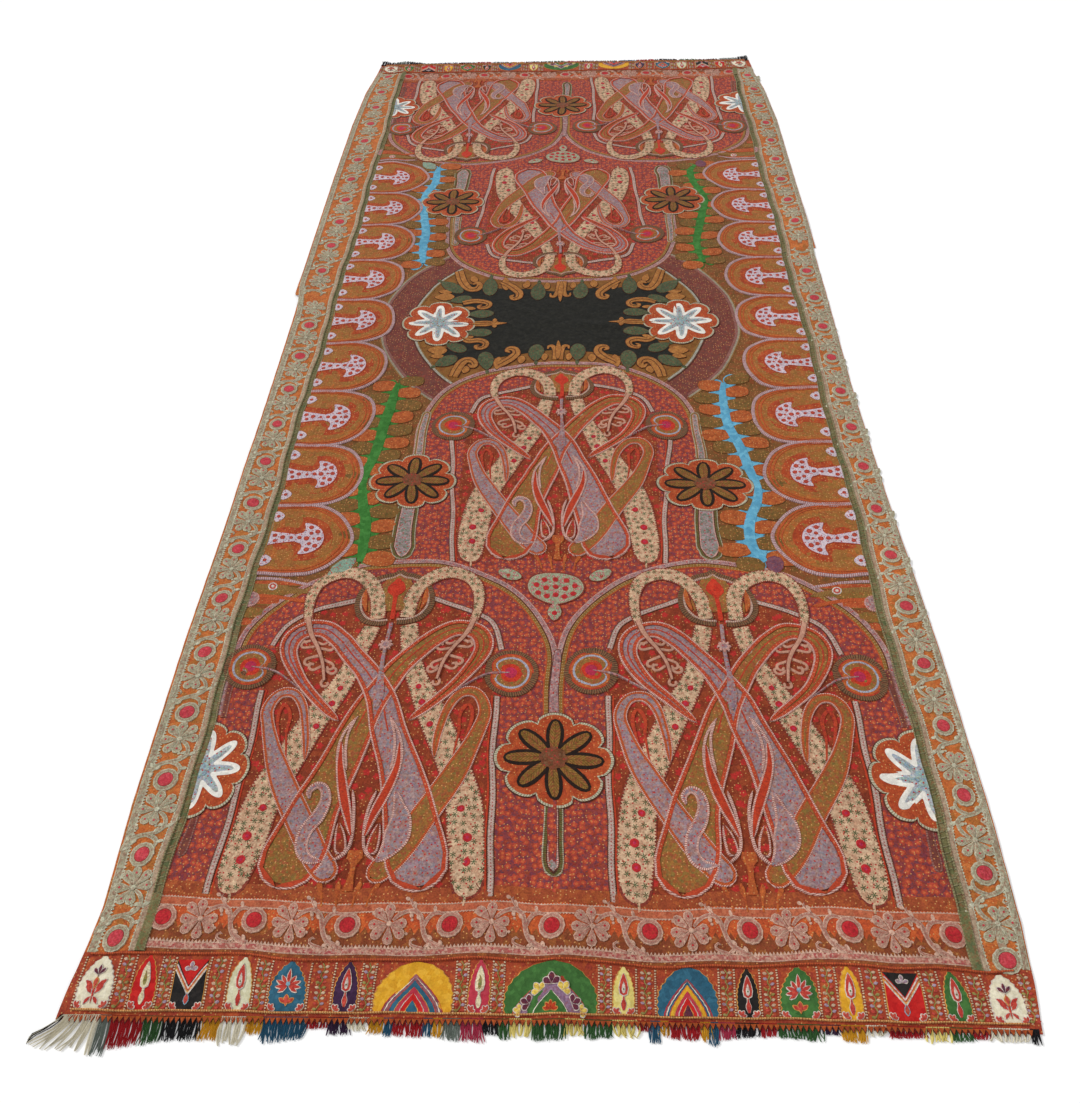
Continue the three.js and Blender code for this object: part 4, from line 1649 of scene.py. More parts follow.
    def _coral(self, side: int) -> None:
        """Stitches the twigs of the small coral tree.

        Args:
            side: -1 for the left, and 1 for the right.
        """
        trunk = mm(
            (157, 148, 4.6), (147, 176, 4.4), (138, 194, 3.8), (125, 215, 3.4), (112, 245, 3),
            (103, 285, 2.2),
        )
        self.work.band(
            self._down(trunk, side), ((SEAM, 0.0008),), TWIG, 11, self.place, CUT_TO_POINT, 0.005
        )
        for x, down, reach, lean, curl in (
            (0.136, 0.196, 0.012, 66, -1), (0.133, 0.2, 0.016, -66, 1), (0.127, 0.211, 0.023, 80, -1),
            (0.124, 0.216, 0.022, -80, 1), (0.119, 0.232, 0.024, 70, 1), (0.116, 0.237, 0.024, -66, -1),
            (0.111, 0.253, 0.017, 58, -1), (0.108, 0.259, 0.016, -56, 1), (0.103, 0.278, 0.009, 30, 1),
        ):
            a = math.radians(lean)
            tx, ty = x + math.sin(a) * reach, down + math.cos(a) * reach
            hook = [(x, down, 0.0027), (x + 0.5 * (tx - x), down + 0.5 * (ty - down), 0.0025)]
            cx, cy = tx - curl * 0.0084 * math.cos(a), ty + curl * 0.0084 * math.sin(a)
            for step in range(7):
                b = a + curl * (math.pi / 2 - step * 0.66)
                radius = 0.0084 - 0.0007 * step
                hook.append((cx + radius * math.sin(b), cy + radius * math.cos(b), 0.0023))
            self.work.band(self._down(hook, side), (), TWIG, 3, self.place, CUT_TO_ROUND, 0.003)

    def _cones(self) -> None:
        """Stitches the two great hooked cones that cross in the middle."""
        cone = mm(
            (-62, 368, 0), (-100, 333, 1), (-145, 288, 3), (-174, 240, 7), (-178, 205, 9.5),
            (-160, 178, 9.5), (-122, 172, 10), (-86, 196, 11), (-56, 230, 12), (-26, 268, 13.5),
            (7.5, 328, 18.5), (28.5, 388, 23.5), (47, 438, 26.5), (63, 488, 29.5), (78.5, 538, 34),
            (92, 592, 41.5), (98.5, 618, 42),
        )
        lanes = ((BEAD, 0.0028), (DASHED, 0.0058))
        for side, fill, level in ((-1, OLIVE, 4), (1, LILAC, 5)):
            spine = self._down(cone, side)
            self.work.band(spine, (), fill, level, self.place, POINT_TO_ROUND, self.rows)
            self.work.band(spine, lanes, None, level + 5, self.place, POINT_TO_ROUND, self.rows)
            vein = [(x, y, 0.0) for x, y, _ in spine[2:12]]
            self.work.band(vein, ((SCARLET, 0.0014),), None, level + 2, self.place, POINT_TO_ROUND, 0.012)

    def _hooks(self) -> None:
        """Stitches the second pair of hooks, which cross the cones and end in small bulbs."""
        hook = mm(
            (112, 445, 0), (117, 395, 2), (128, 345, 3), (150, 316, 4), (178, 318, 5), (193, 350, 6),
            (187, 385, 7), (173, 425, 10), (155, 460, 14), (130, 503, 16.5), (105, 545, 17.5),
            (82, 583, 17.5), (60, 615, 16), (42, 634, 15),
        )
        for side, fill in ((-1, LILAC), (1, OLIVE)):
            spine = self._down(hook, side)
            self.work.band(spine, (), fill, 7, self.place, POINT_TO_ROUND, self.rows)
            self.work.band(
                spine, ((BEAD, 0.0016), (ORANGE_LINE, 0.004)), None, 7.5, self.place, POINT_TO_ROUND,
                self.rows
            )
            nested = mm(
                (140, 470, 1), (152, 400, 2), (150, 360, 3), (163, 340, 3), (172, 362, 3), (165, 405, 2),
                (148, 455, 1),
            )
            self.work.band(self._down(nested, side), (), SCARLET, 5, self.place, POINTED_ENDS)

    def _middle(self) -> None:
        """Stitches the stem, the slender crossing pair, the flames and the vase."""
        stem = mm((0, 160, 3.2), (0, 240, 3.2), (0, 285, 6), (0, 320, 10), (0, 345, 2))
        self.work.band(self._down(stem), (), LILAC, 11, self.place, CUT_TO_POINT)
        flower = (Ring(0.013, BEAD, 0.55, 0.8), Ring(0.006, LILAC, 0.2))
        self.work.rosette(flower, 14, self._at(0.0, 0.21), 8, steps=5)
        for side in (-1, 1):
            flame = mm((52, 412, 1), (50, 450, 4), (40, 488, 6), (28, 523, 6), (19, 548, 4), (11, 576, 1))
            edge = ((BEAD, 0.0028),)
            self.work.band(self._down(flame, side), edge, FLAME, 12, self.place, POINTED_ENDS, 0.005)
            drop = mm((33, 556, 1), (28, 580, 6), (25, 598, 7))
            self.work.band(self._down(drop, side), edge, RUST, 12, self.place, POINT_TO_ROUND, 0.004)
            outer = mm((27, 360, 0), (46, 388, 0), (56, 420, 0), (56, 455, 0))
            inner = mm((30, 364, 0), (41, 395, 0), (43, 430, 0), (37, 465, 0))
            lower = mm((20, 498, 0), (12, 530, 0), (9, 568, 0), (14, 600, 0), (34, 620, 0))
            for rows in (outer, inner, lower):
                self.work.band(
                    self._down(rows, side), ((BEAD, 0.0022),), None, 11, self.place, POINTED_ENDS, 0.006
                )
        curl = mm(
            (-88, 517, 1), (-91, 503, 2), (-80, 492, 3), (-66, 500, 4), (-61, 522, 6), (-69, 547, 8),
            (-85, 572, 8), (-88, 598, 7), (-74, 618, 5), (-50, 622, 1),
        )
        bulb = mm((52, 500, 1), (61, 528, 6), (67, 552, 14), (63, 580, 18), (50, 604, 10), (34, 620, 2))
        for rows in (curl, bulb):
            self.work.band(self._down(rows), ((BEAD, 0.0034),), LILAC, 13, self.place, POINTED_ENDS, 0.005)
        vase = mm((0, 600, 11), (0, 612, 12), (0, 622, 5), (0, 640, 4), (0, 665, 8))
        self.work.band(self._down(vase), (), ORANGE, 8, self.place, CUT_ENDS, 0.004)
        for x in (-0.033, -0.012, 0.012, 0.033):
            sprig = [
                (x, 0.69, 0.0015), (x * 1.1, 0.672, 0.0018), (x * 1.3, 0.658, 0.004),
                (x * 1.35, 0.648, 0.001)
            ]
            self.work.band(self._down(sprig), (), ORANGE, 3, self.place, CUT_TO_POINT, 0.004)

    def _horseshoe(self) -> None:
        """Stitches the ribbed horseshoe at the top, with its red spade."""
        half = mm(
            (0, 31, 0), (12, 40, 0), (32, 46, 0), (54, 62, 0), (70, 92, 0), (71, 122, 0), (55, 148, 0),
            (30, 158, 0), (10, 158, 0),
        )
        ground = mm((0, 60, 26), (0, 100, 50), (0, 130, 48))
        self.work.band(self._down(ground), (), OLIVE, 5, self.place, ROUND_TO_CUT)
        for side in (-1, 1):
            for inward, finish, width in ((0.0, RIBBED, 0.0046), (0.0076, PALE_BEAD, 0.002)):
                rows = [(x * (1 - inward / 0.075), d + (0.1 - d) * inward / 0.065, 0) for x, d, _ in half]
                self.work.band(
                    self._down(rows, side), ((finish, width),), None, 6, self.place, CUT_ENDS, 0.005
                )
            lens = mm((58, 75, 1), (60, 100, 6), (52, 128, 1))
            self.work.band(self._down(lens, side), (), ORANGE, 6, self.place, POINTED_ENDS)
        spade = mm(
            (0, 56, 6), (0, 64, 13), (0, 78, 17.5), (0, 88, 12), (0, 94, 5), (0, 110, 4), (0, 146, 4.2),
        )
        self.work.band(self._down(spade), (), SPADE, 8, self.place, ROUND_ENDS, 0.004)

    def _heart(self, centre: Point, facing: int) -> None:
        """Stitches one of the ringed hearts, whose notch faces the middle.

        Args:
            centre: Its own X, and how far down it lies.
            facing: 1 where the middle is to its right, and otherwise -1.
        """
        x, down = centre
        rings = (
            (0.049, RIBBED), (0.0405, SCARLET), (0.0375, ORANGE), (0.0335, SKY_LINE), (0.0295, OLIVE),
            (0.0205, SPADE), (0.012, MAGENTA),
        )
        place = self._at(x, down)
        turn = np.linspace(0, 2 * math.pi, 37)
        for number, (radius, finish) in enumerate(rings):
            dent = 0.42 if 0.025 < radius < 0.035 else 0.2 if radius < 0.045 else 0.06
            reach = radius * (1 - dent * np.exp(-((turn - math.pi) / 0.34) ** 2))
            base = FIRST_LEVEL + (8 + number * 0.6) * LEVEL
            columns = np.stack([reach + SKIRT, reach, reach * 0.6, reach * 0], 1)
            direction = np.stack([-facing * np.cos(turn), np.sin(turn)], 1)
            lift = np.broadcast_to(np.array([SUNK, base, base + LOW_CROWN, base]), columns.shape)
            along = np.broadcast_to((turn * radius)[:, None], columns.shape)
            xy = place(columns[..., None] * direction[:, None])
            self.work.grid(xy, lift, finish, np.stack([along, columns - radius], -1))
        trail = mm((2, 0, 0.8), (22, 2, 2), (40, 6, 1.8), (60, 16, 1.2), (100, 45, 0.8))
        tail = [(x + facing * ahead, down + fall, half) for ahead, fall, half in trail]
        self.work.band(self._down(tail), (), SPECKLED, 14, self.place, POINTED_ENDS, 0.006)


DOMES = (
    Dome("near_left_dome", "near_arched_field", Place(-0.305, 0.848), NEAR_LEFT),
    Dome("near_right_dome", "near_arched_field", Place(0.317, 0.848), NEAR_RIGHT),
    Dome(
        "middle_near_dome", "middle_near_arch", Place(0.01, 1.488, stretch=0.985), MIDDLE_NEAR,
        (-0.245, 0.262), (0.24, 0.262), 0.02, flare=0.03
    ),
    Dome(
        "middle_far_dome", "middle_far_arch", Place(0.0, 1.834, 180, stretch=0.97), MIDDLE_FAR,
        (-0.25, 0.268), (0.26, 0.268), 0.015, rows=0.0095, flare=0.03
    ),
    Dome(
        "far_left_dome", "far_arched_field", Place(-0.312, 2.507, 180, stretch=0.96), FAR_LEFT,
        rows=0.0095
    ),
    Dome(
        "far_right_dome", "far_arched_field", Place(0.318, 2.507, 180, stretch=0.96), FAR_RIGHT,
        rows=0.0095
    ),
)


# ---------------------------------------------------------------- the scrolled borders
@dataclass(frozen=True)
class VineDress:
    """The threads of a scrolled border."""

    thread: Finish
    rim: Finish
    heart: Finish
    edge: Finish  # the speckled band along its outer side
    inner: Finish  # the band along its inner side


@dataclass
class Vine:
    """A border of rosettes and palmettes that hang on one winding stem.

    Its own X runs along the border, and its own Y across it from the outer edge.
    """

    name: str
    place: Place
    start: float
    stop: float
    rosettes: tuple[float, ...]
    dress: VineDress
    centre: float  # own Y of the rosettes
    outer_band: Point  # middle and half width of the band along its outer side
    inner_band: Point
    scale: float = 1.0
    trunk: bool = False  # whether a straight trunk joins each rosette to its palmette
    rim: tuple[Point, ...] = ((-9.0, 0.0), (9.0, 0.0))  # own X and Y of its outer edge
    work: Needlework = field(init=False)

    def build(self) -> Piece:
        """Stitches the border.

        Returns:
            The piece.
        """
        self.work = Needlework(self.name)
        self._edges()
        for x, after in zip(self.rosettes, self.rosettes[1:]):
            gap = after - x
            spot = self.place.at(x, self.centre + 0.5 * self._rim(x), 0, self.scale)
            petals = x + 0.41 * gap
            flower = self.place.at(petals, self.centre + 0.001 + 0.5 * self._rim(petals), 0, self.scale)
            if self.start + 0.01 < x < self.stop:
                self._rosette(spot)
            if self.start < petals < self.stop:
                if self.trunk:
                    trunk = [(0.016, 0.0, 0.0052), (0.41 * gap / self.scale, 0.001, 0.006)]
                    self.work.band(trunk, (), self.dress.inner, 2, spot, CUT_TO_ROUND, 0.02)
                self._palmette(flower)
            if self.start < x + 0.75 * gap < self.stop:
                self._stem(spot, gap / 0.15 / self.scale)
        return self.work.make()

    def _rim(self, x: float) -> float:
        """Own Y of its outer edge at an own X."""
        table = np.array(self.rim)
        return float(np.interp(x, table[:, 0], table[:, 1]))

    def _edges(self) -> None:
        """Stitches the bands along both sides, with the ticks that stand on them."""
        stops = np.linspace(self.start, self.stop, max(2, int((self.stop - self.start) / 0.06)))
        outer, half = self.outer_band
        spine = [(x, outer + self._rim(x), half - 0.0012) for x in stops]
        self.work.band(spine, ((self.dress.rim, 0.0012),), self.dress.edge, 1, self.place, CUT_ENDS, 0.012)
        line = [(x, y + half - 0.0004) for x, y, _ in spine]
        self.work.teeth(line, 0.0054, 0.0048, self.dress.rim, 1.5, self.place)
        y, half = self.inner_band
        spine = [(x, y, half - 0.0012) for x in (self.start, self.stop)]
        self.work.band(spine, ((self.dress.rim, 0.0012),), self.dress.inner, 1, self.place, CUT_ENDS, 0.012)
        for face in (-1, 1):
            line = [(x, y + face * (half - 0.0004)) for x in (self.start, self.stop)]
            self.work.teeth(line, 0.0048, face * 0.0022, self.dress.rim, 1.5, self.place)

    def _rosette(self, place: Place) -> None:
        """Stitches a red rosette in its ring of petals.

        Args:
            place: Its centre.
        """
        rings = (
            Ring(0.0195, self.dress.rim, 0.13, 0.5), Ring(0.0182, self.dress.thread, 0.14, 0.5),
            Ring(0.0123, SEAM), Ring(0.0113, self.dress.heart),
        )
        self.work.rosette(rings, 6, place, 12, steps=3)

    def _palmette(self, place: Place) -> None:
        """Stitches a palmette of drop lobes, open where its stem comes in.

        Args:
            place: Where its lobes meet.
        """
        for angle, length in (
            (180, 0.029), (130, 0.0315), (93, 0.03), (48, 0.031), (4, 0.028), (-129, 0.0285), (-86, 0.025),
        ):
            lobe = place.at(0, 0, angle)
            self.work.leaf(lobe, length, 0.0132, self.dress.thread, 5, 0, 1.7, self.dress.rim, 0.55, 7)
            self.work.spot(lobe.at(0, length * 0.74), 0.0017, self.dress.heart, 9)
        self.work.spot(place, 0.0042, self.dress.rim, 8)

    def _stem(self, place: Place, reach: float) -> None:
        """Stitches the stem that winds on to the next rosette, with its branch and leaves.

        Args:
            place: The centre of the rosette before it.
            reach: How much longer it is drawn than at its own size.
        """
        arch = (
            (0.066, 0.006, 2.4), (0.0735, 0.014, 2.6), (0.0847, 0.02, 2.8), (0.0975, 0.0205, 3.1),
            (0.1065, 0.013, 3.1), (0.1105, 0.0, 3.0), (0.114, -0.012, 3.2), (0.121, -0.022, 3.6),
            (0.133, -0.03, 4.2), (0.145, -0.033, 3.0),
        )
        branch = (
            (0.112, -0.004, 2.0), (0.1156, 0.008, 2.8), (0.1225, 0.0165, 2.9), (0.132, 0.0185, 2.4),
            (0.14, 0.015, 1.6),
        )
        spur = ((0.099, 0.021, 2.4), (0.093, 0.029, 2.2), (0.088, 0.036, 1.6), (0.0905, 0.04, 0.8))
        curl = (
            (0.115, -0.033, 2.2), (0.106, -0.031, 2.0), (0.097, -0.028, 1.8), (0.0945, -0.023, 1.5),
            (0.099, -0.019, 1.4), (0.104, -0.021, 0.8),
        )
        for rows in (arch, branch, spur, curl):
            spine = [(x * reach, y, (half - 0.7) / 1000) for x, y, half in rows]
            self.work.band(
                spine, ((self.dress.rim, 0.0009),), self.dress.thread, 3, place, POINTED_ENDS, 0.005
            )
        for x, y, turn, length in (
            (0.127, 0.018, 20, 0.011), (0.118, -0.014, -120, 0.011), (0.108, 0.008, 60, 0.01),
            (0.098, 0.024, 35, 0.012), (0.09, 0.02, -150, 0.01), (0.124, -0.026, 130, 0.01),
            (0.087, 0.037, 80, 0.008), (0.142, -0.031, 40, 0.01),
        ):
            self.work.leaf(
                place.at(x * reach, y, turn), length, 0.0058, self.dress.rim, 4, 0.002, 0.3, None, 0.6, 5
            )
        for x, y in ((0.094, 0.008), (0.036, 0.016), (0.088, -0.012)):
            self.work.spot(place.at(x * reach, y), 0.0021, self.dress.rim, 2)


LEFT_ROSETTES = tuple(0.103 + 0.1285 * k for k in range(-1, 26))
RIGHT_ROSETTES = tuple(0.097 + 0.1275 * k for k in range(-1, 26))
NEAR_ROSETTES = (-0.72, -0.576, -0.437, -0.295, -0.143, 0.007, 0.152, 0.302, 0.452, 0.602, 0.75)
CROSS_DRESS = VineDress(VINE_THREAD, VINE_RIM, CRIMSON, VINE_SPECKS, VINE_BAND)
SIDE_DRESS = VineDress(SIDE_THREAD, SIDE_RIM, PINK_RED, SIDE_SPECKS, SIDE_BAND)


@dataclass
class EndCell:
    """The niche and the flowers of one coloured panel of an end border.

    Its own Y runs up from the foot of the niche, whose tip is at 0.066.
    """

    name: str
    place: Place
    width: float
    cloth: Finish
    niche: Niche
    motif: Finish
    strip: float  # width of the strip that divides it from the next panel
    work: Needlework = field(init=False)

    def build(self) -> Piece:
        """Stitches the panel.

        Returns:
            The piece.
        """
        self.work = Needlework(self.name)
        stitch = {
            Niche.CYPRESS: self._cypress,
            Niche.BOUQUET: self._bouquet,
            Niche.PALM: self._palm,
            Niche.CHEVRON: self._chevron,
            Niche.NESTED: self._nested,
            Niche.GARDEN: self._garden,
        }
        stitch[self.niche]()
        self._strip()
        return self.work.make()

    def _niche(self, outline: Finish, scallop: float = 0.0014) -> None:
        """Lays the coloured cloth of the niche, with its scalloped outline.

        Args:
            outline: The finish of its edge.
            scallop: How deep its scallops are.
        """
        half = self.width / 2 - 0.001
        profile = (
            (0.0, 0.86), (0.01, 0.97), (0.026, 1.0), (0.04, 0.88), (0.052, 0.62), (0.06, 0.36),
            (0.066, 0.05)
        )
        rows = [(0.0, y, half * share) for y, share in profile]
        edge = ((outline, 0.0011),)
        self.work.band(rows, edge, self.cloth, 2, self.place, CUT_TO_POINT, 0.0034, scallop)

    def _feet(self) -> None:
        """Stitches the two small flowers in the lower corners."""
        for side in (-1, 1):
            foot = self.place.at(side * (self.width / 2 - 0.003), 0.0015, side * 35)
            self.work.fan(foot, 3, 0.0085, 90, 0.0042, ROSE_THREAD, 7, PALE_THREAD)

    def _cypress(self) -> None:
        """A slender niche with a small tree on a baluster."""
        self._niche(OCHRE)
        self._feet()
        baluster = mm((0, 6, 1.2), (0, 11, 3), (0, 16, 3.4), (0, 22, 1.1), (0, 30, 1.6))
        self.work.band(baluster, ((PALE_THREAD, 0.0006),), self.motif, 6, self.place, POINT_TO_CUT, 0.003)
        self.work.leaf(self.place.at(0, 0.026), 0.031, 0.0125, self.motif, 8, 0, -0.42, PALE_THREAD, 0.7)
        inner = PALE_THREAD if self.motif is not CREAM_THREAD else OLIVE_THREAD
        self.work.leaf(self.place.at(0, 0.029), 0.017, 0.0056, inner, 11, 0, -0.35, None, 0.8)
        self.work.spot(self.place.at(0, 0.035), 0.0013, GREEN_THREAD, 13)

    def _bouquet(self) -> None:
        """A broad scalloped niche with a flower of curled petals."""
        self._niche(OCHRE if self.cloth is not IVORY_CLOTH else PALE_THREAD, 0.0022)
        self._feet()
        for side in (-1, 1):
            for x, y, turn, length, width, bend in (
                (0.002, 0.018, 58, 0.017, 0.0075, -0.009), (0.002, 0.022, 30, 0.018, 0.0065, 0.006),
                (0.001, 0.014, 118, 0.012, 0.005, 0.004),
            ):
                size = self.width / 0.05
                petal = self.place.at(side * x, y, 0, size, side < 0).at(0, 0, -turn)
                self.work.leaf(petal, length, width, self.motif, 6, bend, 0.3, PALE_THREAD)
        crown = self.place.at(0, 0.041)
        self.work.fan(crown, 3, 0.013, 90, 0.0046, PLUM_THREAD, 8, PALE_THREAD)
        self.work.leaf(self.place.at(0, 0.006), 0.034, 0.003, self.motif, 7)
        self.work.leaf(self.place.at(0, 0.024), 0.013, 0.006, ROSE_THREAD, 9, 0, 0.4, OCHRE)

    def _palm(self) -> None:
        """A broad scalloped niche with a fan of long petals on a small stand."""
        self._niche(OCHRE, 0.0022)
        self._feet()
        size = self.width / 0.052
        for side in (-1, 1):
            for turn, length in ((62, 0.014), (95, 0.0165), (122, 0.0175), (148, 0.0165)):
                petal = self.place.at(0, 0.036, -side * turn, size)
                self.work.leaf(petal, length, 0.005, self.motif, 6, -side * 0.006, 0.5, PALE_THREAD)
            self.work.leaf(self.place.at(0, 0.01, side * 58), 0.012, 0.0046, self.motif, 6, 0, 0.3, OCHRE)
        self.work.leaf(self.place.at(0, 0.007), 0.014, 0.007, ROSE_THREAD, 7, 0, 0.3, OCHRE)
        self.work.leaf(self.place.at(0, 0.037), 0.019, 0.0052, self.motif, 8, 0, -0.2, PALE_THREAD)
        self.work.spot(self.place.at(0, 0.036), 0.0034, SKY_THREAD, 10)

    def _chevron(self) -> None:
        """A square panel whose upper part is a deep V of the other colour."""
        half = self.width / 2
        block = [(0.0, 0.0, half), (0.0, 0.062, half)]
        self.work.band(block, ((OCHRE, 0.001),), self.cloth, 2, self.place, CUT_ENDS, 0.006)
        wedge = [(0.0, 0.062, half * 0.98), (0.0, 0.03, 0.0002)]
        self.work.band(wedge, (), self.motif, 4, self.place, CUT_ENDS, 0.004)
        for inset, finish in (
            (0.0, PALE_THREAD), (0.0022, ROSE_THREAD), (0.0046, OCHRE), (0.0068, PALE_THREAD)
        ):
            v = [(-half + 0.001, 0.056 - inset, 0), (0, 0.026 - inset, 0), (half - 0.001, 0.056 - inset, 0)]
            for a, b in zip(v, v[1:]):
                self.work.band([a, b], ((finish, 0.0011),), None, 6, self.place, CUT_ENDS, 0.008)
        self._feet()
        self.work.leaf(self.place.at(0, 0.02, 180), 0.013, 0.0065, ROSE_THREAD, 6, 0, 0.2, SKY_THREAD)
        self.work.fan(self.place.at(0, 0.049), 3, 0.01, 150, 0.0048, LILAC_THREAD, 8, PALE_THREAD)

    def _nested(self) -> None:
        """A wide round arch with pointed arches nested in it, down to a red drop."""
        self._wide_arch(self.cloth, 1.0, 2, OCHRE, 0.0024)
        yellow = self.cloth is YELLOW_CLOTH
        plies = (
            (0.78, MAUVE_CLOTH, CRIMSON), (0.7, MAUVE_CLOTH if yellow else BLUE_CLOTH, WHITE_THREAD),
            (0.6, BLUE_CLOTH if yellow else YELLOW_CLOTH, ROSE_THREAD), (0.44, ROSE_CLOTH, OCHRE),
            (0.3, RED_CLOTH, PALE_THREAD), (0.15, BLUE_CLOTH if yellow else PLUM_CLOTH, OCHRE),
        )
        for number, (share, cloth, outline) in enumerate(plies):
            self._pointed_arch(cloth, share, 4 + 2 * number, outline)

    def _garden(self) -> None:
        """A wide round arch that holds flowers round a small green arch."""
        self._wide_arch(self.cloth, 1.0, 2, OCHRE, 0.0024)
        self._pointed_arch(LILAC_CLOTH, 0.8, 4, ROSE_THREAD)
        for side in (-1, 1):
            for x, y, turn, cloth in ((0.03, 0.012, 66, PLUM_THREAD), (0.016, 0.028, 38, LEMON_THREAD)):
                self.work.fan(
                    self.place.at(side * x, y, -side * turn), 3, 0.013, 120, 0.0075, cloth, 8, PALE_THREAD
                )
            leaf = self.place.at(side * 0.042, 0.003, -side * 80)
            self.work.fan(leaf, 3, 0.01, 120, 0.006, LEMON_THREAD, 8, PALE_THREAD)
        self.work.fan(self.place.at(0, 0.037), 3, 0.015, 120, 0.009, PLUM_THREAD, 9, PALE_THREAD)
        self._pointed_arch(self.cloth, 0.36, 10, WHITE_THREAD)
        self.work.fan(self.place.at(0, 0.004), 5, 0.012, 150, 0.0045, FLAME, 13, OCHRE)

    def _wide_arch(self, cloth: Finish, share: float, level: float, edge: Finish, tooth: float) -> None:
        """Lays a round scalloped arch as a share of the panel's width.

        Args:
            cloth: Its finish.
            share: The share.
            level: How many layers up it lies.
            edge: The finish of its edge.
            tooth: How deep its scallops are.
        """
        half, top = self.width / 2 * share - 0.001, 0.068 * share
        profile = [(0.0, 0.0, half * 0.98), (0.0, top * 0.3, half), (0.0, top * 0.55, half * 0.9)]
        profile += [(0.0, top * 0.78, half * 0.66), (0.0, top * 0.92, half * 0.4), (0.0, top, half * 0.08)]
        self.work.band(profile, ((edge, 0.0012),), cloth, level, self.place, CUT_TO_POINT, 0.0048, tooth)

    def _pointed_arch(self, cloth: Finish, share: float, level: float, edge: Finish) -> None:
        """Lays a pointed arch as a share of the panel's width.

        Args:
            cloth: Its finish.
            share: The share.
            level: How many layers up it lies.
            edge: The finish of its edge.
        """
        half, top = self.width / 2 * share, 0.062 * share**0.75
        profile = [(0.0, 0.0, half), (0.0, top * 0.25, half * 0.86), (0.0, top * 0.55, half * 0.55)]
        profile += [(0.0, top * 0.8, half * 0.24), (0.0, top, 0.0004)]
        self.work.band(profile, ((edge, 0.0013),), cloth, level, self.place, CUT_TO_POINT, 0.004, 0.0006)

    def _strip(self) -> None:
        """Stitches the columns of dots at both sides, and the leaves in the strip beyond."""
        half = self.width / 2
        for x in (-half - 0.003, half + 0.003):
            column = [(x, 0.0, 0), (x, 0.066, 0)]
            self.work.band(column, ((DOT_COLUMN, 0.0012),), None, 1, self.place, CUT_ENDS, 0.011)
        middle = half + self.strip / 2
        wave = [(middle - 0.0022 * (-1) ** row, 0.003 + row * 0.0078, 0.0006) for row in range(9)]
        self.work.band(wave, (), OLIVE_THREAD, 1, self.place, POINTED_ENDS, 0.004)
        threads = (SAND_THREAD, ROSE_THREAD, SAND_THREAD, LILAC_THREAD, OLIVE_THREAD)
        for row in range(9):
            for side in (-1, 1):
                spot = self.place.at(middle + side * 0.0016, 0.002 + row * 0.0072, -side * 62)
                finish = threads[(2 * row + side) % len(threads)]
                self.work.leaf(spot, 0.0064, 0.0038, finish, 2, 0.0014 * side, 0.2)


@dataclass
class EndRow:
    """Every panel of one end border, with the hem beyond them."""

    end: str
    turned: bool
    foot: float
    stretch: float

    def cells(self) -> dict[str, EndCell]:
        """The panels by the number of the ground panel that each lies on.

        Returns:
            Each panel under that name.
        """
        found = {}
        for number, (x, width, _) in enumerate(CELLS):
            cloth, niche, motif = CELL_DRESS[number]
            strip = 0.016
            if number < len(CELLS) - 1:
                after, beyond, _ = CELLS[number + 1]
                strip = after - beyond / 2 - x - width / 2
            middle, turn = (-x, 180) if self.turned else (x, 0)
            place = Place(middle, self.foot, turn, stretch=self.stretch)
            name = f"{self.end}_end_panel_{(17 - number if self.turned else number + 1):02d}"
            found[name] = EndCell(name + "_flowers", place, width, cloth, niche, motif, strip)
        return found

    def hem(self) -> Piece:
        """Stitches the cords, and orange points along the edge over dark points that are painted shade
        between them.

        Returns:
            The piece.
        """
        work = Needlework(self.end + "_hem")
        away = -1 if self.turned else 1
        for y, finish, half in (
            (self.foot - away * 0.0008, HEM_CORD, 0.0008), (self.foot + away * 0.0695, TOP_CORD, 0.001)
        ):
            line = []
            for x in np.linspace(-0.67, 0.67, 40):
                bend = 0.0008 * math.sin(23 * x) + 0.0006 * math.sin(57 * x + 1)
                line.append((x, y + bend, 0.0))
            work.band(line, ((finish, half),), None, 14, HERE, CUT_ENDS, 0.012)
        edge = 0.0 if away > 0 else CLOTH_LENGTH
        # the dark points under the orange wraps are painted shade in the gaps between them
        for start, finish, level in ((0.003, HEM_GAP_SHADE, 5), (0.0045, HEM_WRAP, 8)):
            comb = [(x, edge + away * start) for x in np.linspace(-0.672, 0.672, 30)]
            work.teeth(comb, 0.008, -away * 0.008, finish, level)
        return work.make()


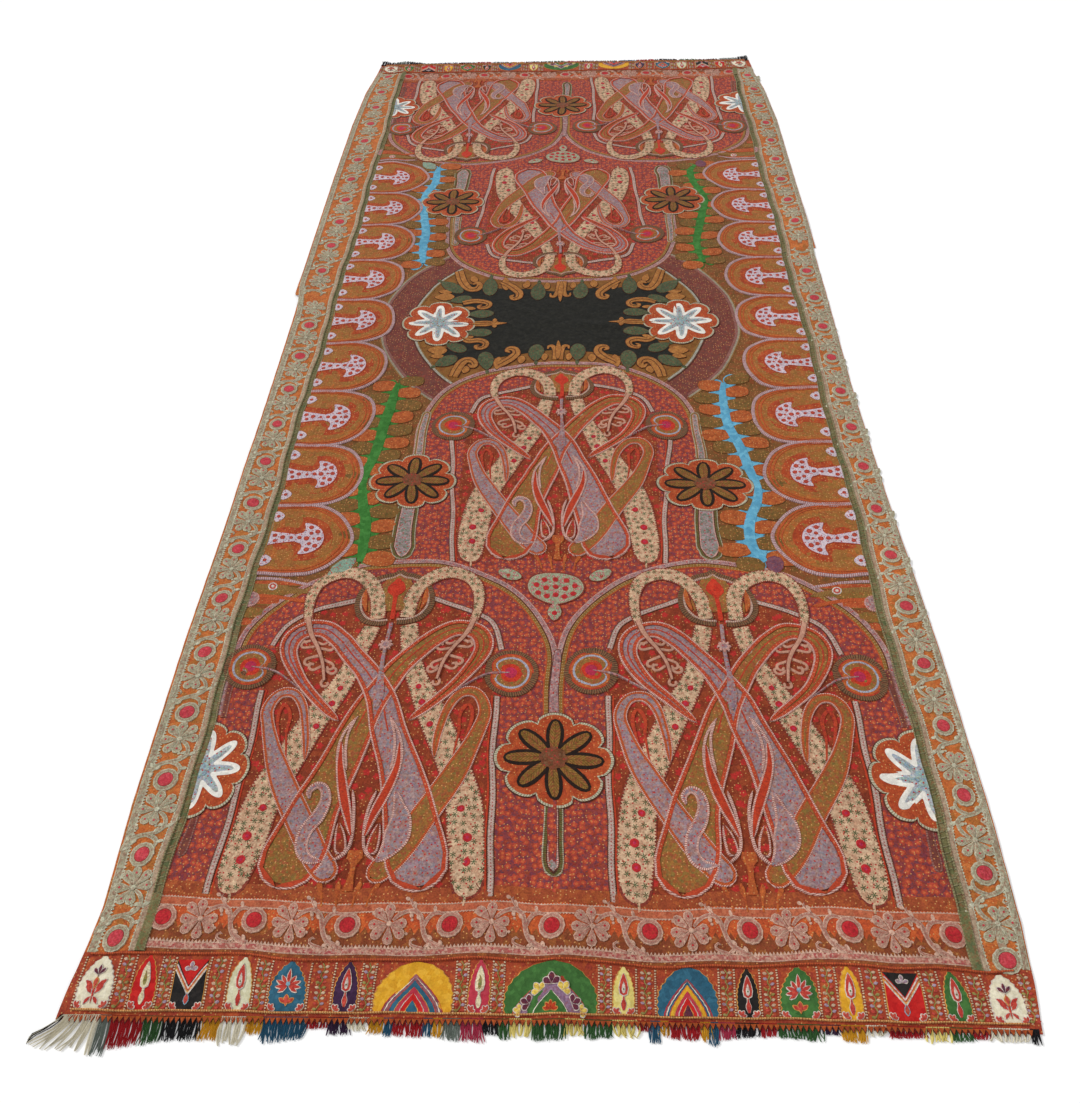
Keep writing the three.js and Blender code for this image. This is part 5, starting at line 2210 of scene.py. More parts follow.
# ---------------------------------------------------------------- the stars and the medallion
@dataclass
class Star:
    """An eight-petalled star on a scalloped ground, whole or cut by a guard stripe."""

    name: str
    place: Place
    petal: Finish
    rim: Finish
    surround: Finish
    length: float = 1.0  # its extent along the shawl, as a share of its width
    size: float = 1.0
    side: int = 0  # -1 or 1 where only its left or right half shows
    pale: bool = False  # whether its petals are white ones with slender sprays in them

    def build(self) -> Piece:
        """Stitches the star.

        Returns:
            The piece.
        """
        work = Needlework(self.name)
        whole = self.length * (1.0 if self.pale else 1.06)
        place = Place(self.place.x, self.place.y, self.place.turn, self.size, False, whole)
        share = self._arc()
        # the outermost dark ring is a painted shadow line round the scalloped edge
        scallops = ((0.1035, DARK_LINE_AND_SHADOW), (0.102, STAR_LINE), (0.097, self.surround))
        work.rosette(
            [Ring(radius, finish, 0.18, 0.5) for radius, finish in scallops], 6, place, 8, 10, share
        )
        turns = range(0, 360, 45) if not self.side else [-self.side * angle for angle in (45, 90, 135)]
        if self.pale:
            work.rosette((Ring(0.0835, self.rim, 0.5, 1.7),), 9, place, 8, 14, share)
            work.rosette((Ring(0.07, self.petal, 0.62, 4.0),), 11, place, 8, 14, share)
            for turn in turns:
                work.leaf(place.at(0, 0, turn), 0.06, 0.0062, SKY_SPRAY, 13, 0, 0.4, None, 0.7, 9)
        else:
            for turn in turns:
                angle = math.radians(turn)
                tip = np.array([math.sin(angle), math.cos(angle) * whole]) * self.size
                long = float(np.linalg.norm(tip))
                centre = (self.place.x, self.place.y)
                petal = Place.toward(centre, (centre[0] + tip[0], centre[1] + tip[1]))
                for inset, width, finish, level in (
                    (0.0, 0.031, self.rim, 11), (0.0046, 0.0185, self.petal, 13)
                ):
                    reach = 0.08 * long - 1.4 * inset
                    root = petal.at(0, 0.006 + inset / 2)
                    work.leaf(root, reach, width, finish, level, 0, 0.25, None, 0.42, 9)
        heart = Ring(0.02, SKY_SPRAY, 0.3, 0.6) if self.pale else Ring(0.0245, STAR_HEART, 0.12, 0.6)
        work.rosette((heart,), 16, place, 8, 6, share)
        return work.make()

    def _arc(self) -> tuple[float, float]:
        """The part of a full turn that its ground fills.

        Returns:
            Where the part starts and stops, as shares of the turn.
        """
        if self.side > 0:
            return (0.0, 0.5)
        if self.side < 0:
            return (0.5, 1.0)
        return (0.0, 1.0)


def brown(name: str, x: float, y: float, size: float, length: float) -> Star:
    """A whole star with brown petals in black outlines."""
    return Star(name, Place(x, y), BROWN_PETAL, BLACK_PETAL, STAR_GROUND, length, size)


def white(name: str, x: float, y: float, size: float, length: float, side: int = 0) -> Star:
    """A white star, or half of one where a guard stripe cuts it."""
    return Star(name, Place(x, y), GREY_PETAL, WHITE_PETAL, STAR_GROUND, length, size, side, True)


STARS = (
    brown("near_middle_star", 0.012, 0.408, 0.99, 0.83),
    brown("near_left_star", -0.306, 1.069, 0.95, 0.8), brown("near_right_star", 0.32, 1.062, 1.01, 0.74),
    brown("far_left_star", -0.325, 2.27, 0.95, 0.84), brown("far_right_star", 0.33, 2.27, 0.97, 0.84),
    brown("far_middle_star", -0.005, 2.93, 0.97, 0.84),
    white("centre_left_star", -0.307, 1.648, 0.955, 0.98),
    white("centre_right_star", 0.31, 1.657, 0.965, 0.98),
    white("near_left_half_star", -0.589, 0.379, 0.8, 1.1, 1),
    white("near_right_half_star", 0.617, 0.383, 0.9, 1.0, -1),
    white("far_left_half_star", -0.589, 2.93, 0.88, 0.95, 1),
    white("far_right_half_star", 0.617, 2.93, 0.92, 0.95, -1),
)


@dataclass
class Medallion:
    """The black oval field in the middle, with its gold scrolls, dark leaves and double ring."""

    middle: float = 1.663
    work: Needlework = field(init=False)

    def build(self) -> list[Piece]:
        """Stitches the field and the ring.

        Returns:
            The pieces of the field, of the left ring and of the right ring.
        """
        self.work = Needlework("centre_field_scrolls")
        self._black()
        for side in (-1, 1):
            self._leaves(side)
            self._scrolls(side)
        self._finials()
        pieces = [self.work.make()]
        for name, start in (("left_ring_lines", 90), ("right_ring_lines", -90)):
            self.work = Needlework(name)
            self._ring(start)
            pieces.append(self.work.make())
        return pieces

    def _black(self) -> None:
        """Lays the black field."""
        right = mm(
            (0, 1790), (60, 1800), (120, 1806), (165, 1812), (215, 1822), (262, 1838), (286, 1812),
            (284, 1775), (262, 1752), (246, 1722), (232, 1690), (225, 1655), (232, 1620), (244, 1592),
            (262, 1562), (285, 1540), (290, 1500), (262, 1478), (215, 1488), (165, 1503), (120, 1518),
            (60, 1530), (0, 1535),
        )
        outline = right + [(-x, y) for x, y in right[-2:0:-1]]
        closed = smooth(outline, 0.013, closed=True)
        self.work.patch(closed, (0.0, self.middle), INK, 1, HERE, 12)

    @staticmethod
    def _grown(side: int, root: Point, tip: Point) -> tuple[Place, float]:
        """The place of a leaf of one half that grows from its root to its tip, and its length."""
        return Place.toward((side * root[0], root[1]), (side * tip[0], tip[1])), math.dist(root, tip)

    def _scrolls(self, side: int) -> None:
        """Stitches the gold scrolls of one half, each with its curled end and a shorter leaf.

        Args:
            side: -1 for the left, and 1 for the right.
        """
        for rows in (
            mm(
                (279, 1893, 11), (266, 1852, 12), (252, 1822, 12), (238, 1806, 11), (221, 1808, 10),
                (213, 1824, 8), (221, 1837, 6), (230, 1830, 3),
            ),
            mm(
                (156, 1842, 8), (136, 1824, 10), (119, 1804, 11), (106, 1784, 10), (107, 1765, 9),
                (120, 1758, 7), (127, 1769, 5), (121, 1775, 2),
            ),
            mm(
                (252, 1742, 8), (228, 1751, 9), (202, 1751, 9), (184, 1741, 8), (186, 1725, 7),
                (203, 1720, 6), (210, 1730, 4), (203, 1734, 2),
            ),
            mm(
                (248, 1596, 8), (226, 1577, 9), (199, 1578, 9), (181, 1567, 8), (184, 1550, 7),
                (199, 1544, 6), (206, 1554, 4), (199, 1558, 2),
            ),
            mm(
                (256, 1430, 11), (250, 1456, 12), (240, 1480, 12), (227, 1496, 11), (211, 1494, 10),
                (204, 1480, 8), (211, 1468, 6), (219, 1475, 3),
            ),
            mm(
                (144, 1478, 8), (128, 1492, 10), (112, 1508, 11), (101, 1526, 10), (106, 1543, 9),
                (120, 1546, 7), (125, 1535, 5), (118, 1531, 2),
            ),
        ):
            spine = [(side * x, y, half) for x, y, half in rows]
            self.work.band(spine, ((UMBER_LINE, 0.0013),), GOLD, 6, HERE, CUT_TO_ROUND, 0.004)
            vein = [(x + side * 0.002, y, 0.0009) for x, y, _ in spine[:-2]]
            self.work.band(vein, (), UMBER_LINE, 9, HERE, POINTED_ENDS, 0.006)
        for x0, y0, x1, y1, width in mm(
            (330, 1768, 278, 1768, 34), (322, 1794, 286, 1790, 18), (326, 1534, 276, 1536, 34),
            (318, 1508, 284, 1514, 18), (240, 1872, 226, 1838, 20), (150, 1862, 140, 1800, 22),
            (232, 1444, 224, 1470, 20), (150, 1462, 142, 1510, 22), (88, 1842, 90, 1806, 20),
            (88, 1484, 86, 1516, 20), (35, 1832, 34, 1800, 16), (30, 1492, 30, 1520, 16),
            (250, 1722, 216, 1718, 14), (246, 1584, 214, 1596, 14),
        ):
            leaf, length = self._grown(side, (x0, y0), (x1, y1))
            self.work.leaf(leaf, length, width, GOLD, 4, 0, 0.2, UMBER_LINE, 0.6, 9)

    def _leaves(self, side: int) -> None:
        """Stitches the dark green leaves of one half.

        Args:
            side: -1 for the left, and 1 for the right.
        """
        for x0, y0, x1, y1, width in mm(
            (318, 1842, 258, 1788, 38), (188, 1862, 183, 1779, 40), (57, 1828, 55, 1752, 39),
            (286, 1746, 232, 1767, 32), (231, 1694, 166, 1694, 35), (231, 1611, 167, 1611, 34),
            (280, 1563, 228, 1534, 34), (304, 1472, 250, 1511, 38), (174, 1459, 178, 1530, 40),
            (51, 1492, 52, 1558, 39),
        ):
            leaf, length = self._grown(side, (x0, y0), (x1, y1))
            self.work.leaf(leaf, length, width, LEAF_GREEN, 5, 0, 0.25, UMBER_LINE, 0.5, 10)
            stalk = leaf.at(0.0, -0.016)
            self.work.leaf(stalk, 0.02, 0.01, LEAF_GREEN, 4)

    def _finials(self) -> None:
        """Stitches the four gold finials on the axes."""
        for foot, tip in (((0.003, 1.836), 1.74), ((0.003, 1.496), 1.569)):
            up = math.copysign(1.0, tip - foot[1])
            reach = abs(tip - foot[1])
            for side in (-1, 1):
                wing = []
                for x, share, half in (
                    (8, 0.0, 5), (8.5, 0.45, 5.5), (14, 0.7, 5.5), (24, 0.72, 4), (26, 0.6, 2)
                ):
                    wing.append((foot[0] + side * x / 1000, foot[1] + up * share * reach, half / 1000))
                self.work.band(wing, ((UMBER_LINE, 0.0011),), GOLD, 6, HERE, CUT_TO_ROUND, 0.004)
            self.work.leaf(
                Place.toward(foot, (foot[0], tip)), reach, 0.013, GOLD, 8, 0, -0.1, UMBER_LINE, 0.6, 9
            )
        for side in (-1, 1):
            rows = mm(
                (244, 10.5), (200, 11), (180, 11.5), (168, 9), (156, 10), (150, 5), (142, 4), (128, 0.5),
            )
            bar = [(side * x, 1.65, half) for x, half in rows]
            self.work.band(bar, ((UMBER_LINE, 0.0011),), GOLD, 6, HERE, CUT_TO_POINT, 0.004)
            for v in (-0.004, 0.004):
                strip = [(side * x, 1.65 + v, 0.0007) for x in (0.24, 0.2, 0.168)]
                self.work.band(strip, (), UMBER_LINE, 9, HERE, POINTED_ENDS, 0.008)
            for turn in (0, 180):
                self.work.leaf(Place(side * 0.16, 1.65, turn), 0.02, 0.012, GOLD, 7, 0, 0.3, UMBER_LINE)

    def _ring(self, start: float) -> None:
        """Stitches the lines of half of the ring.

        Args:
            start: The angle at which the half starts, in degrees.
        """
        for oval, inset, finish, half in (
            (OUTER_OVAL, -0.002, OLIVE_LINE, 0.0016), (OUTER_OVAL, 0.002, GREY_LINE, 0.0026),
            (OUTER_OVAL, 0.008, MAUVE_LINE, 0.0032), (INNER_OVAL, 0.0, PEARL_LINE, 0.0028),
            (INNER_OVAL, 0.005, OLIVE_LINE, 0.0018), (INNER_OVAL, -0.005, DARK_LINE_AND_SHADOW, 0.0014),
        ):
            drawn = Oval(oval.x, oval.y, oval.half_width - inset, oval.half_length - inset)
            line = drawn.line(0.02, start, start + 180)
            free = [~arch.covers(line[:, 0], line[:, 1]) for arch in (MIDDLE_NEAR, MIDDLE_FAR)]
            line = line[free[0] & free[1]]
            spine = np.column_stack([line, np.zeros(len(line))])
            self.work.band(spine, ((finish, half),), None, 2, HERE, CUT_ENDS, 0.01)


# ---------------------------------------------------------------- the flanks
@dataclass
class Flank:
    """One long side of the field: its row of niches, its leafy rivers and its corner bands."""

    side: int  # -1 left, 1 right
    guard: float
    niches: tuple[float, ...]
    near_river: Finish
    far_river: Finish
    course: Sequence[tuple[float, ...]]  # X, Y and half width of its near river
    leaf_pitch: float = 0.0435  # along the river
    leaf_width: float = 0.061
    leaf_length: float = 0.0385
    work: Needlework = field(init=False)

    @property
    def name(self) -> str:
        """The side's name."""
        return "left" if self.side < 0 else "right"

    def build(self) -> list[Piece]:
        """Stitches the flank.

        Returns:
            Its pieces: the rivers and three lots of niches.
        """
        pieces = []
        for end, turned in (("near", False), ("far", True)):
            self.work = Needlework(f"{self.name}_{end}_river")
            self._river(turned)
            pieces.append(self.work.make())
        for number in range(3):
            self.work = Needlework(f"{self.name}_niches_{number + 1}")
            for y in self.niches[3 * number : 3 * number + 3]:
                self._niche(y)
            pieces.append(self.work.make())
        return pieces

    def _niche(self, y: float) -> None:
        """Stitches one niche with its mushroom.

        Args:
            y: Where its middle is.
        """
        place = Place(self.guard, y, 0, 1.0, self.side > 0)
        wobble = 0.006 * math.sin(37 * y)
        half = [(0.0, 0.096), (0.06, 0.096), (0.112, 0.085), (0.15, 0.054), (0.167 + wobble, 0.0)]
        outline = half + [(x, -v) for x, v in half[-2::-1]]
        line = smooth(outline, 0.011)
        self.work.patch(np.vstack([line, line[:1]]), (0.06, 0.0), NICHE_GROUND, 4, place, 6)
        inner = smooth([(x * 0.87, v * 0.8) for x, v in outline], 0.011)
        self.work.patch(np.vstack([inner, inner[:1]]), (0.05, 0.0), NICHE_OLIVE, 5, place, 5)
        for share, finish, lane in (
            (1.0, LILAC_BEADS, 0.0036), (0.94, ORANGE_LINE, 0.002), (0.89, ORANGE_LINE, 0.0012)
        ):
            spine = [(x * share, v * share, 0.0) for x, v in outline]
            self.work.band(spine, ((finish, lane),), None, 8, place, CUT_ENDS, 0.011)
        self._mushroom(place)

    def _mushroom(self, place: Place) -> None:
        """Stitches the pale mushroom that grows from the guard stripe, and the drops beside it.

        Args:
            place: Its root on the guard stripe.
        """
        upper = mm(
            (1, 19), (20, 14.5), (44, 10.5), (58, 9.5), (65, 12.5), (71, 21), (70.5, 33), (67, 42),
            (78, 41.5), (94, 35), (107, 22),
        )
        figure = np.array(upper + [(0.113, 0.0)] + [(x, -v) for x, v in upper[::-1]])
        for grow, finish, level in ((0.019, NICHE_CORE, 6), (0.0016, CRIMSON_EDGE, 9), (0.0, FROSTED, 10)):
            for part, centre in ((figure[:5], (0.03, 0.0)), (figure[3:-3], (0.088, 0.0))):
                half = part if len(part) > 5 else np.vstack([part, figure[-5:]])
                out = half - (centre if len(part) > 5 else half * (1, 0))
                away = half + out / np.linalg.norm(out, axis=1)[:, None] * grow
                away[:, 0] = np.maximum(away[:, 0], 0.0005)
                loop = smooth(away, 0.009 if level == 6 else 0.006)
                self.work.patch(np.vstack([loop, loop[:1]]), centre, finish, level, place, 2)
        for x, v, radius in mm(
            (10, 7, 5.2), (13, -8, 4.8), (27, 1, 5.6), (45, 0, 4), (62, 1, 5), (77, 0, 6.2), (83, 30, 5.6),
            (83, -30, 5.6), (98, 19, 5.8), (98, -19, 5.8), (103, 0, 5.4), (85, 14, 4.6), (85, -14, 4.6),
            (92, 0, 3),
        ):
            rings = (Ring(radius, CRIMSON_EDGE), Ring(radius * 0.52, ROSE_THREAD))
            self.work.rosette(rings, 12, place.at(x, v), 1, steps=7)
        for v in (0.062, -0.062):
            half = [
                (0.001, v + 0.013), (0.012, v + 0.012), (0.021, v + 0.001), (0.012, v - 0.012),
                (0.001, v - 0.013)
            ]
            self.work.patch(smooth(half, 0.005, closed=True), (0.008, v), FROSTED, 9, place, 2)
            self.work.rosette(
                (Ring(0.004, CRIMSON_EDGE), Ring(0.0018, ROSE_THREAD)), 12, place.at(0.008, v), 1, steps=8
            )

    def _river(self, turned: bool) -> None:
        """Stitches a river that runs between the leaves along its two banks.

        Args:
            turned: Whether it is the far one, which answers the near one.
        """
        course = [(x, FIELD_SPAN - y if turned else y, half) for x, y, half in self.course]
        finish = self.far_river if turned else self.near_river
        self.work.band(
            [(x, y, half + 0.008) for x, y, half in course], (), finish, 0.5, HERE, POINTED_ENDS, 0.01
        )
        self.work.band(
            [(x, y, half * 0.95) for x, y, half in course], (), finish, 5.5, HERE, POINTED_ENDS, 0.01
        )
        for number, (x, y, half) in enumerate(smooth(course, self.leaf_pitch)):
            for bank in (-1, 1):
                sway = math.sin(2.3 * number + bank)
                wide = self.leaf_width * (1 + 0.1 * sway)
                tall = self.leaf_length * (1 + 0.05 * math.sin(5.1 * number + bank))
                at = y + 0.002 * sway + 0.009 * bank
                near = bank * self.side < 0 and any(
                    abs(x - star.place.x) < 0.14 and abs(at - star.place.y) < 0.078 for star in STARS
                )
                wide *= 0.55 if near else 1.0
                petal = ORANGE_LEAF if (number + (bank > 0)) % 2 else OLIVE_LEAF
                root = Place(x + bank * half * 0.45, at, -bank * (88 + 6 * sway))
                self.work.leaf(
                    root.at(0, -0.003), 0.62 * wide, tall + 0.009, finish, 1 + 0.3 * (number % 2), 0, 0,
                    None, 0.5, 7
                )
                self.work.leaf(root, wide, tall, petal, 2.8 + 0.3 * (number % 2), 0, 0.1, LEAF_RIM, 0.28, 8)


LEFT_COURSE = mm(
    (-391, 840, 6), (-392, 880, 11), (-393, 945, 12), (-410, 1010, 11), (-416, 1070, 10), (-405, 1135, 12),
    (-396, 1210, 13), (-392, 1290, 13), (-390, 1350, 11), (-384, 1400, 6),
)
RIGHT_COURSE = mm(
    (423, 848, 6), (403, 889, 11), (404, 960, 11), (424, 1020, 10), (430, 1062, 9), (416, 1120, 11),
    (406, 1190, 12), (390, 1270, 11), (391, 1340, 10), (399, 1406, 6),
)


# ---------------------------------------------------------------- stems and palmettes of the field
@dataclass
class Stem:
    """A drop stem that hangs between a crown and a star, with its dark and pale outlines."""

    place: Place
    length: float
    root: float  # half width at its wide end
    tip: float  # half width at its narrow end
    lanes: tuple[tuple[Finish, float], ...] = (
        (GREEN_BEADS, 0.0018), (MOSS_LINE, 0.0048), (DARK_LINE_AND_SHADOW, 0.002), (BEAD, 0.002),
    )
    fill: Finish = MOSS_LILAC

    def stitch(self, work: Needlework) -> None:
        """Stitches the stem from its wide end along its place's Y.

        Args:
            work: The piece that it is stitched into.
        """
        rows = [
            (0.0, 0.01, self.root * 0.8), (0.0, 0.022, self.root),
            (0.0, self.length * 0.5, (self.root + self.tip) * 0.48), (0.0, self.length, self.tip),
        ]
        level = 4 if len(self.lanes) > 1 else 2
        work.band(rows, self.lanes, self.fill, level, self.place, ROUND_TO_CUT, 0.008)


@dataclass
class FieldPalmette:
    """The broad pale palmette that stands between two crowns, with a drop under it."""

    place: Place

    def stitch(self, work: Needlework) -> None:
        """Stitches the palmette.

        Args:
            work: The piece that it is stitched into.
        """
        half = mm((0, 40), (26, 37), (45, 26), (52, 6), (44, -12), (26, -24))
        outline = np.array(half + [(0.0, -0.032)] + [(-x, y) for x, y in half[:0:-1]])
        for share, finish, level in ((1.12, SEAM, 6), (1.06, GREEN_BEADS, 7), (1.0, PALE_GREEN, 8)):
            work.patch(
                smooth(outline * share, 0.005, closed=True), (0.0, 0.0), finish, level, self.place, 4
            )
        for x, y in mm((0, 26), (22, 24), (38, 10), (0, 8), (19, 4), (34, -9), (0, -12), (17, -16)):
            for side in (-1, 1) if x else (1,):
                spot = self.place.at(side * x, y)
                work.rosette(
                    (Ring(0.0062, CRIMSON_EDGE, 0.1), Ring(0.0048, CRIMSON, 0.1)), 10, spot, 5, steps=3
                )
        drop = self.place.at(0, -0.038)
        work.leaf(drop.at(0, 0.008, 180), 0.044, 0.026, PALE_GREEN, 7, 0, 0.1, SEAM, 0.7, 9)
        work.spot(drop.at(0, -0.018), 0.0058, CRIMSON, 10)
        for side in (-1, 1):
            bud = self.place.at(side * 0.068, 0.028, -side * 80)
            work.leaf(bud, 0.048, 0.026, PALE_GREEN, 6, -side * 0.01, 0.0, SEAM, 0.5, 9)
            work.spot(bud.at(0, 0.026), 0.0052, CRIMSON_EDGE, 8)


@dataclass
class FieldWork:
    """Every stem and palmette of one end of the field."""

    name: str
    flipped: bool  # whether it is the far end's
    work: Needlework = field(init=False)

    def _place(self, x: float, y: float, turn: float) -> Place:
        """A place of the near end, or the same at the far end.

        Args:
            x: X on the cloth.
            y: Y on the near half.
            turn: The turn there, in degrees.

        Returns:
            The place.
        """
        if self.flipped:
            return Place(x, FIELD_SPAN - y, 180 - turn)
        return Place(x, y, turn)

    def build(self) -> Piece:
        """Stitches them.

        Returns:
            The piece.
        """
        self.work = Needlework(self.name)
        slender = ((GREEN_BEADS, 0.0018), (OLIVE_LINE, 0.0034), (BEAD, 0.0018))
        for x, y, turn, length, root, tip, lanes in (
            (0.009, 0.64, 180, 0.16, 0.0064, 0.0088, ((DARK_LINE_AND_SHADOW, 0.0012),)),
            (0.01, 0.212, 0, 0.12, 0.007, 0.0045, Stem.lanes),
            (-0.31, 0.862, 0, 0.13, 0.0155, 0.0115, Stem.lanes),
            (0.317, 0.86, 0, 0.132, 0.0165, 0.012, Stem.lanes),
            (-0.303, 1.3, 180, 0.155, 0.004, 0.0055, slender),
            (0.318, 1.3, 180, 0.155, 0.004, 0.0055, slender),
        ):
            fill = MOSS_LILAC if len(lanes) > 1 else SPECKLED
            Stem(self._place(x, y, turn), length, root, tip, lanes, fill).stitch(self.work)
        FieldPalmette(self._place(0.003, 0.775, 0)).stitch(self.work)
        for x in (LEFT_GUARD[1] + 0.0125, RIGHT_GUARD[0] - 0.0125):
            for y, turn, length in ((0.222, 0, 0.09), (0.6, 180, 0.12)):
                Stem(
                    self._place(x, y, turn), length, 0.0055, 0.0035, ((MAUVE_LINE, 0.0022),), RING_MAUVE
                ).stitch(self.work)
        self._foot()
        for side in (-1, 1):
            if side < 0:
                self.work.leaf(self._place(-0.447, 0.804, -44), 0.066, 0.038, TEAL_PATCH, 6, 0, 0.1, SEAM)
            else:
                self.work.leaf(
                    self._place(0.438, 0.816, -5), 0.046, 0.034, PURPLE_PATCH, 6, 0, 0.3, SEAM, 0.4
                )
            for y, finish, half in (
                (0.796, LILAC_BEADS, 0.003), (0.776, OLIVE_LINE, 0.006), (0.752, ORANGE_LINE, 0.004)
            ):
                a = LEFT_GUARD[1] if side < 0 else RIGHT_GUARD[0]
                band = [(a, y, 0.0), (a - side * 0.06, y, 0.0), (a - side * 0.12, y - 0.012, 0.0)]
                if self.flipped:
                    band = [(x, FIELD_SPAN - v, half_width) for x, v, half_width in band]
                self.work.band(band, ((finish, half),), None, 3, HERE, CUT_TO_POINT, 0.009)
            ring = self._place(side * 0.55, 0.777, 0)
            rings = (Ring(0.0095, PALE_THREAD), Ring(0.007, ROSE_THREAD), Ring(0.0035, PALE_THREAD))
            self.work.rosette(rings, 6, ring, 1, steps=10)
        return self.work.make()

    def _foot(self) -> None:
        """Stitches the plain strip along the cross border, and the strips of the corners."""
        strip = [(LEFT_GUARD[1], 0.1765, 0.0105), (RIGHT_GUARD[0], 0.1765, 0.0105)]
        rows = [(*self._place(x, y, 0)((0.0, 0.0)), half) for x, y, half in strip]
        self.work.band(rows, (), FOOT_GROUND, 0.4, HERE, CUT_ENDS, 0.02)
        for arch, guard in ((NEAR_LEFT, LEFT_GUARD[1]), (NEAR_RIGHT, RIGHT_GUARD[0])):
            side = -1 if guard < 0 else 1
            for y, half, finish in (
                (0.788, 0.005, CORNER_ORANGE), (0.769, 0.011, CORNER_OLIVE), (0.743, 0.01, CORNER_ORANGE),
                (0.712, 0.011, CORNER_OLIVE), (0.69, 0.009, CORNER_ORANGE), (0.664, 0.008, SPECKLED),
                (0.64, 0.01, CORNER_ORANGE),
            ):
                rise = min((y + half - arch.spring) / arch.rise, 0.999)
                width = (arch.half_width + 0.004) * (1 - rise**arch.power) ** (1 / arch.power)
                inner = arch.x + side * width
                if side * (guard - inner) < 0.012:
                    continue
                strip = [
                    (guard, y - 0.003, half * 0.85), ((guard + inner) / 2, y, half),
                    (inner, y, half * 0.7)
                ]
                rows = [(*self._place(a, b, 0)((0.0, 0.0)), c) for a, b, c in strip]
                self.work.band(rows, ((OLIVE_LINE, 0.001),), finish, 1, HERE, CUT_ENDS, 0.012)
            drop = self._place(guard - side * 0.001, 0.743, 0)
            share = (0.0, 0.5) if (side < 0) != self.flipped else (0.5, 1.0)
            rings = (Ring(0.0185, PINK_LINE), Ring(0.016, SPECKLED))
            self.work.rosette(rings, 4, Place(drop.x, drop.y), 1, 16, share)


# ---------------------------------------------------------------- the guards
@dataclass
class GuardTicks:
    """The pale couching stitches over one length of a guard stripe."""

    name: str
    edges: Point  # X of the stripe's two edges
    low: float
    high: float

    def build(self) -> Piece:
        """Stitches the ticks.

        Returns:
            The piece.
        """
        work = Needlework(self.name)
        left, right = self.edges
        for x in self.edges:
            line = [(x, self.low, 0.0), (x, self.high, 0.0)]
            work.band(line, ((GUARD_EDGE, 0.0009),), None, 8, HERE, CUT_ENDS, 0.014)
        for first, last in ((NEAR_BAND, NEAR_CROSS), (FAR_CROSS, FAR_BAND)):
            if self.low <= first and last <= self.high:
                cover = [((left + right) / 2, y, 0.0062) for y in (first, last)]
                work.band(cover, (), GUARD_GROUND, 9, HERE, CUT_ENDS, 0.014)
        y = self.low + 0.02
        number = 0
        while y < self.high - 0.01:
            lean = 14 * math.sin(7.0 * y)
            tick = Place(left + 0.001, y, -90 + lean)
            work.leaf(tick, right - left - 0.002, 0.0018, GUARD_TICK, 2, rows=4)
            y += 0.0125 + 0.004 * math.sin(3.1 * number)
            number += 1
        return work.make()


# ---------------------------------------------------------------- the fringes
@dataclass(frozen=True)
class Reach:
    """How far a fringe reaches past its edge at some places across."""

    table: Sequence[tuple[float, ...]]

    def at(self, x: Array) -> Array:
        """The reach at some places across."""
        rows = np.array(self.table)
        return np.interp(x, rows[:, 0], rows[:, 1])


NEAR_REACH = Reach(
    mm(
        (-716, 18), (-690, 40), (-610, 52), (-540, 36), (-400, 34), (-330, 26), (-200, 20), (-60, 28),
        (90, 18), (205, 30), (330, 12), (450, 22), (600, 12), (683, 14),
    )
)
FAR_REACH = Reach(
    mm(
        (-694, 50), (-650, 26), (-600, 44), (-520, 18), (-340, 28), (-180, 20), (0, 26), (180, 18),
        (360, 30), (520, 18), (640, 30), (688, 50),
    )
)


class Yarn(Enum):
    """The colours of the fringe yarns."""

    CREAM = "cfc8b4"
    SMOKE = "6c746c"
    RED = "9c1c22"
    GREEN = "33582e"
    BLACK = "1d1c1e"
    YELLOW = "bf8c20"
    BLUE = "27536c"
    PURPLE = "36203a"
    ROSE = "a03048"
    LEMON = "cdbd70"


NEAR_TUFTS = (  # left edge of each colour of the near fringe, and how much of the reach it keeps
    (-0.683, Yarn.BLACK, 0.9), (-0.678, Yarn.CREAM, 1.0), (-0.625, Yarn.SMOKE, 1.0),
    (-0.609, Yarn.RED, 0.85), (-0.563, Yarn.GREEN, 0.9), (-0.536, Yarn.BLACK, 0.85),
    (-0.482, Yarn.YELLOW, 0.85), (-0.452, Yarn.CREAM, 1.0), (-0.419, Yarn.YELLOW, 0.6),
    (-0.394, Yarn.BLUE, 0.95), (-0.33, Yarn.RED, 0.45), (-0.302, Yarn.PURPLE, 0.8),
    (-0.271, Yarn.CREAM, 0.6), (-0.242, Yarn.YELLOW, 0.8), (-0.223, Yarn.BLUE, 0.95),
    (-0.209, Yarn.RED, 1.0), (-0.167, Yarn.BLUE, 0.9), (-0.154, Yarn.YELLOW, 0.9),
    (-0.14, Yarn.SMOKE, 1.0), (-0.115, Yarn.ROSE, 1.0), (-0.083, Yarn.BLACK, 0.6),
    (-0.062, Yarn.GREEN, 0.8), (-0.046, Yarn.LEMON, 0.7), (-0.015, Yarn.GREEN, 0.95),
    (0.031, Yarn.LEMON, 0.75), (0.06, Yarn.GREEN, 1.0), (0.098, Yarn.LEMON, 0.8), (0.131, Yarn.RED, 0.35),
    (0.15, Yarn.BLUE, 0.9), (0.164, Yarn.YELLOW, 0.5), (0.175, Yarn.RED, 0.62), (0.219, Yarn.YELLOW, 0.7),
    (0.233, Yarn.BLUE, 1.0), (0.244, Yarn.ROSE, 0.7), (0.267, Yarn.BLACK, 0.7), (0.3, Yarn.RED, 0.8),
    (0.325, Yarn.GREEN, 1.0), (0.385, Yarn.PURPLE, 0.4), (0.412, Yarn.YELLOW, 0.8),
    (0.446, Yarn.CREAM, 0.35), (0.473, Yarn.RED, 0.5), (0.529, Yarn.LEMON, 0.9), (0.558, Yarn.GREEN, 0.9),
    (0.592, Yarn.RED, 0.7), (0.612, Yarn.CREAM, 0.9), (0.669, Yarn.BLACK, 1.0),
)
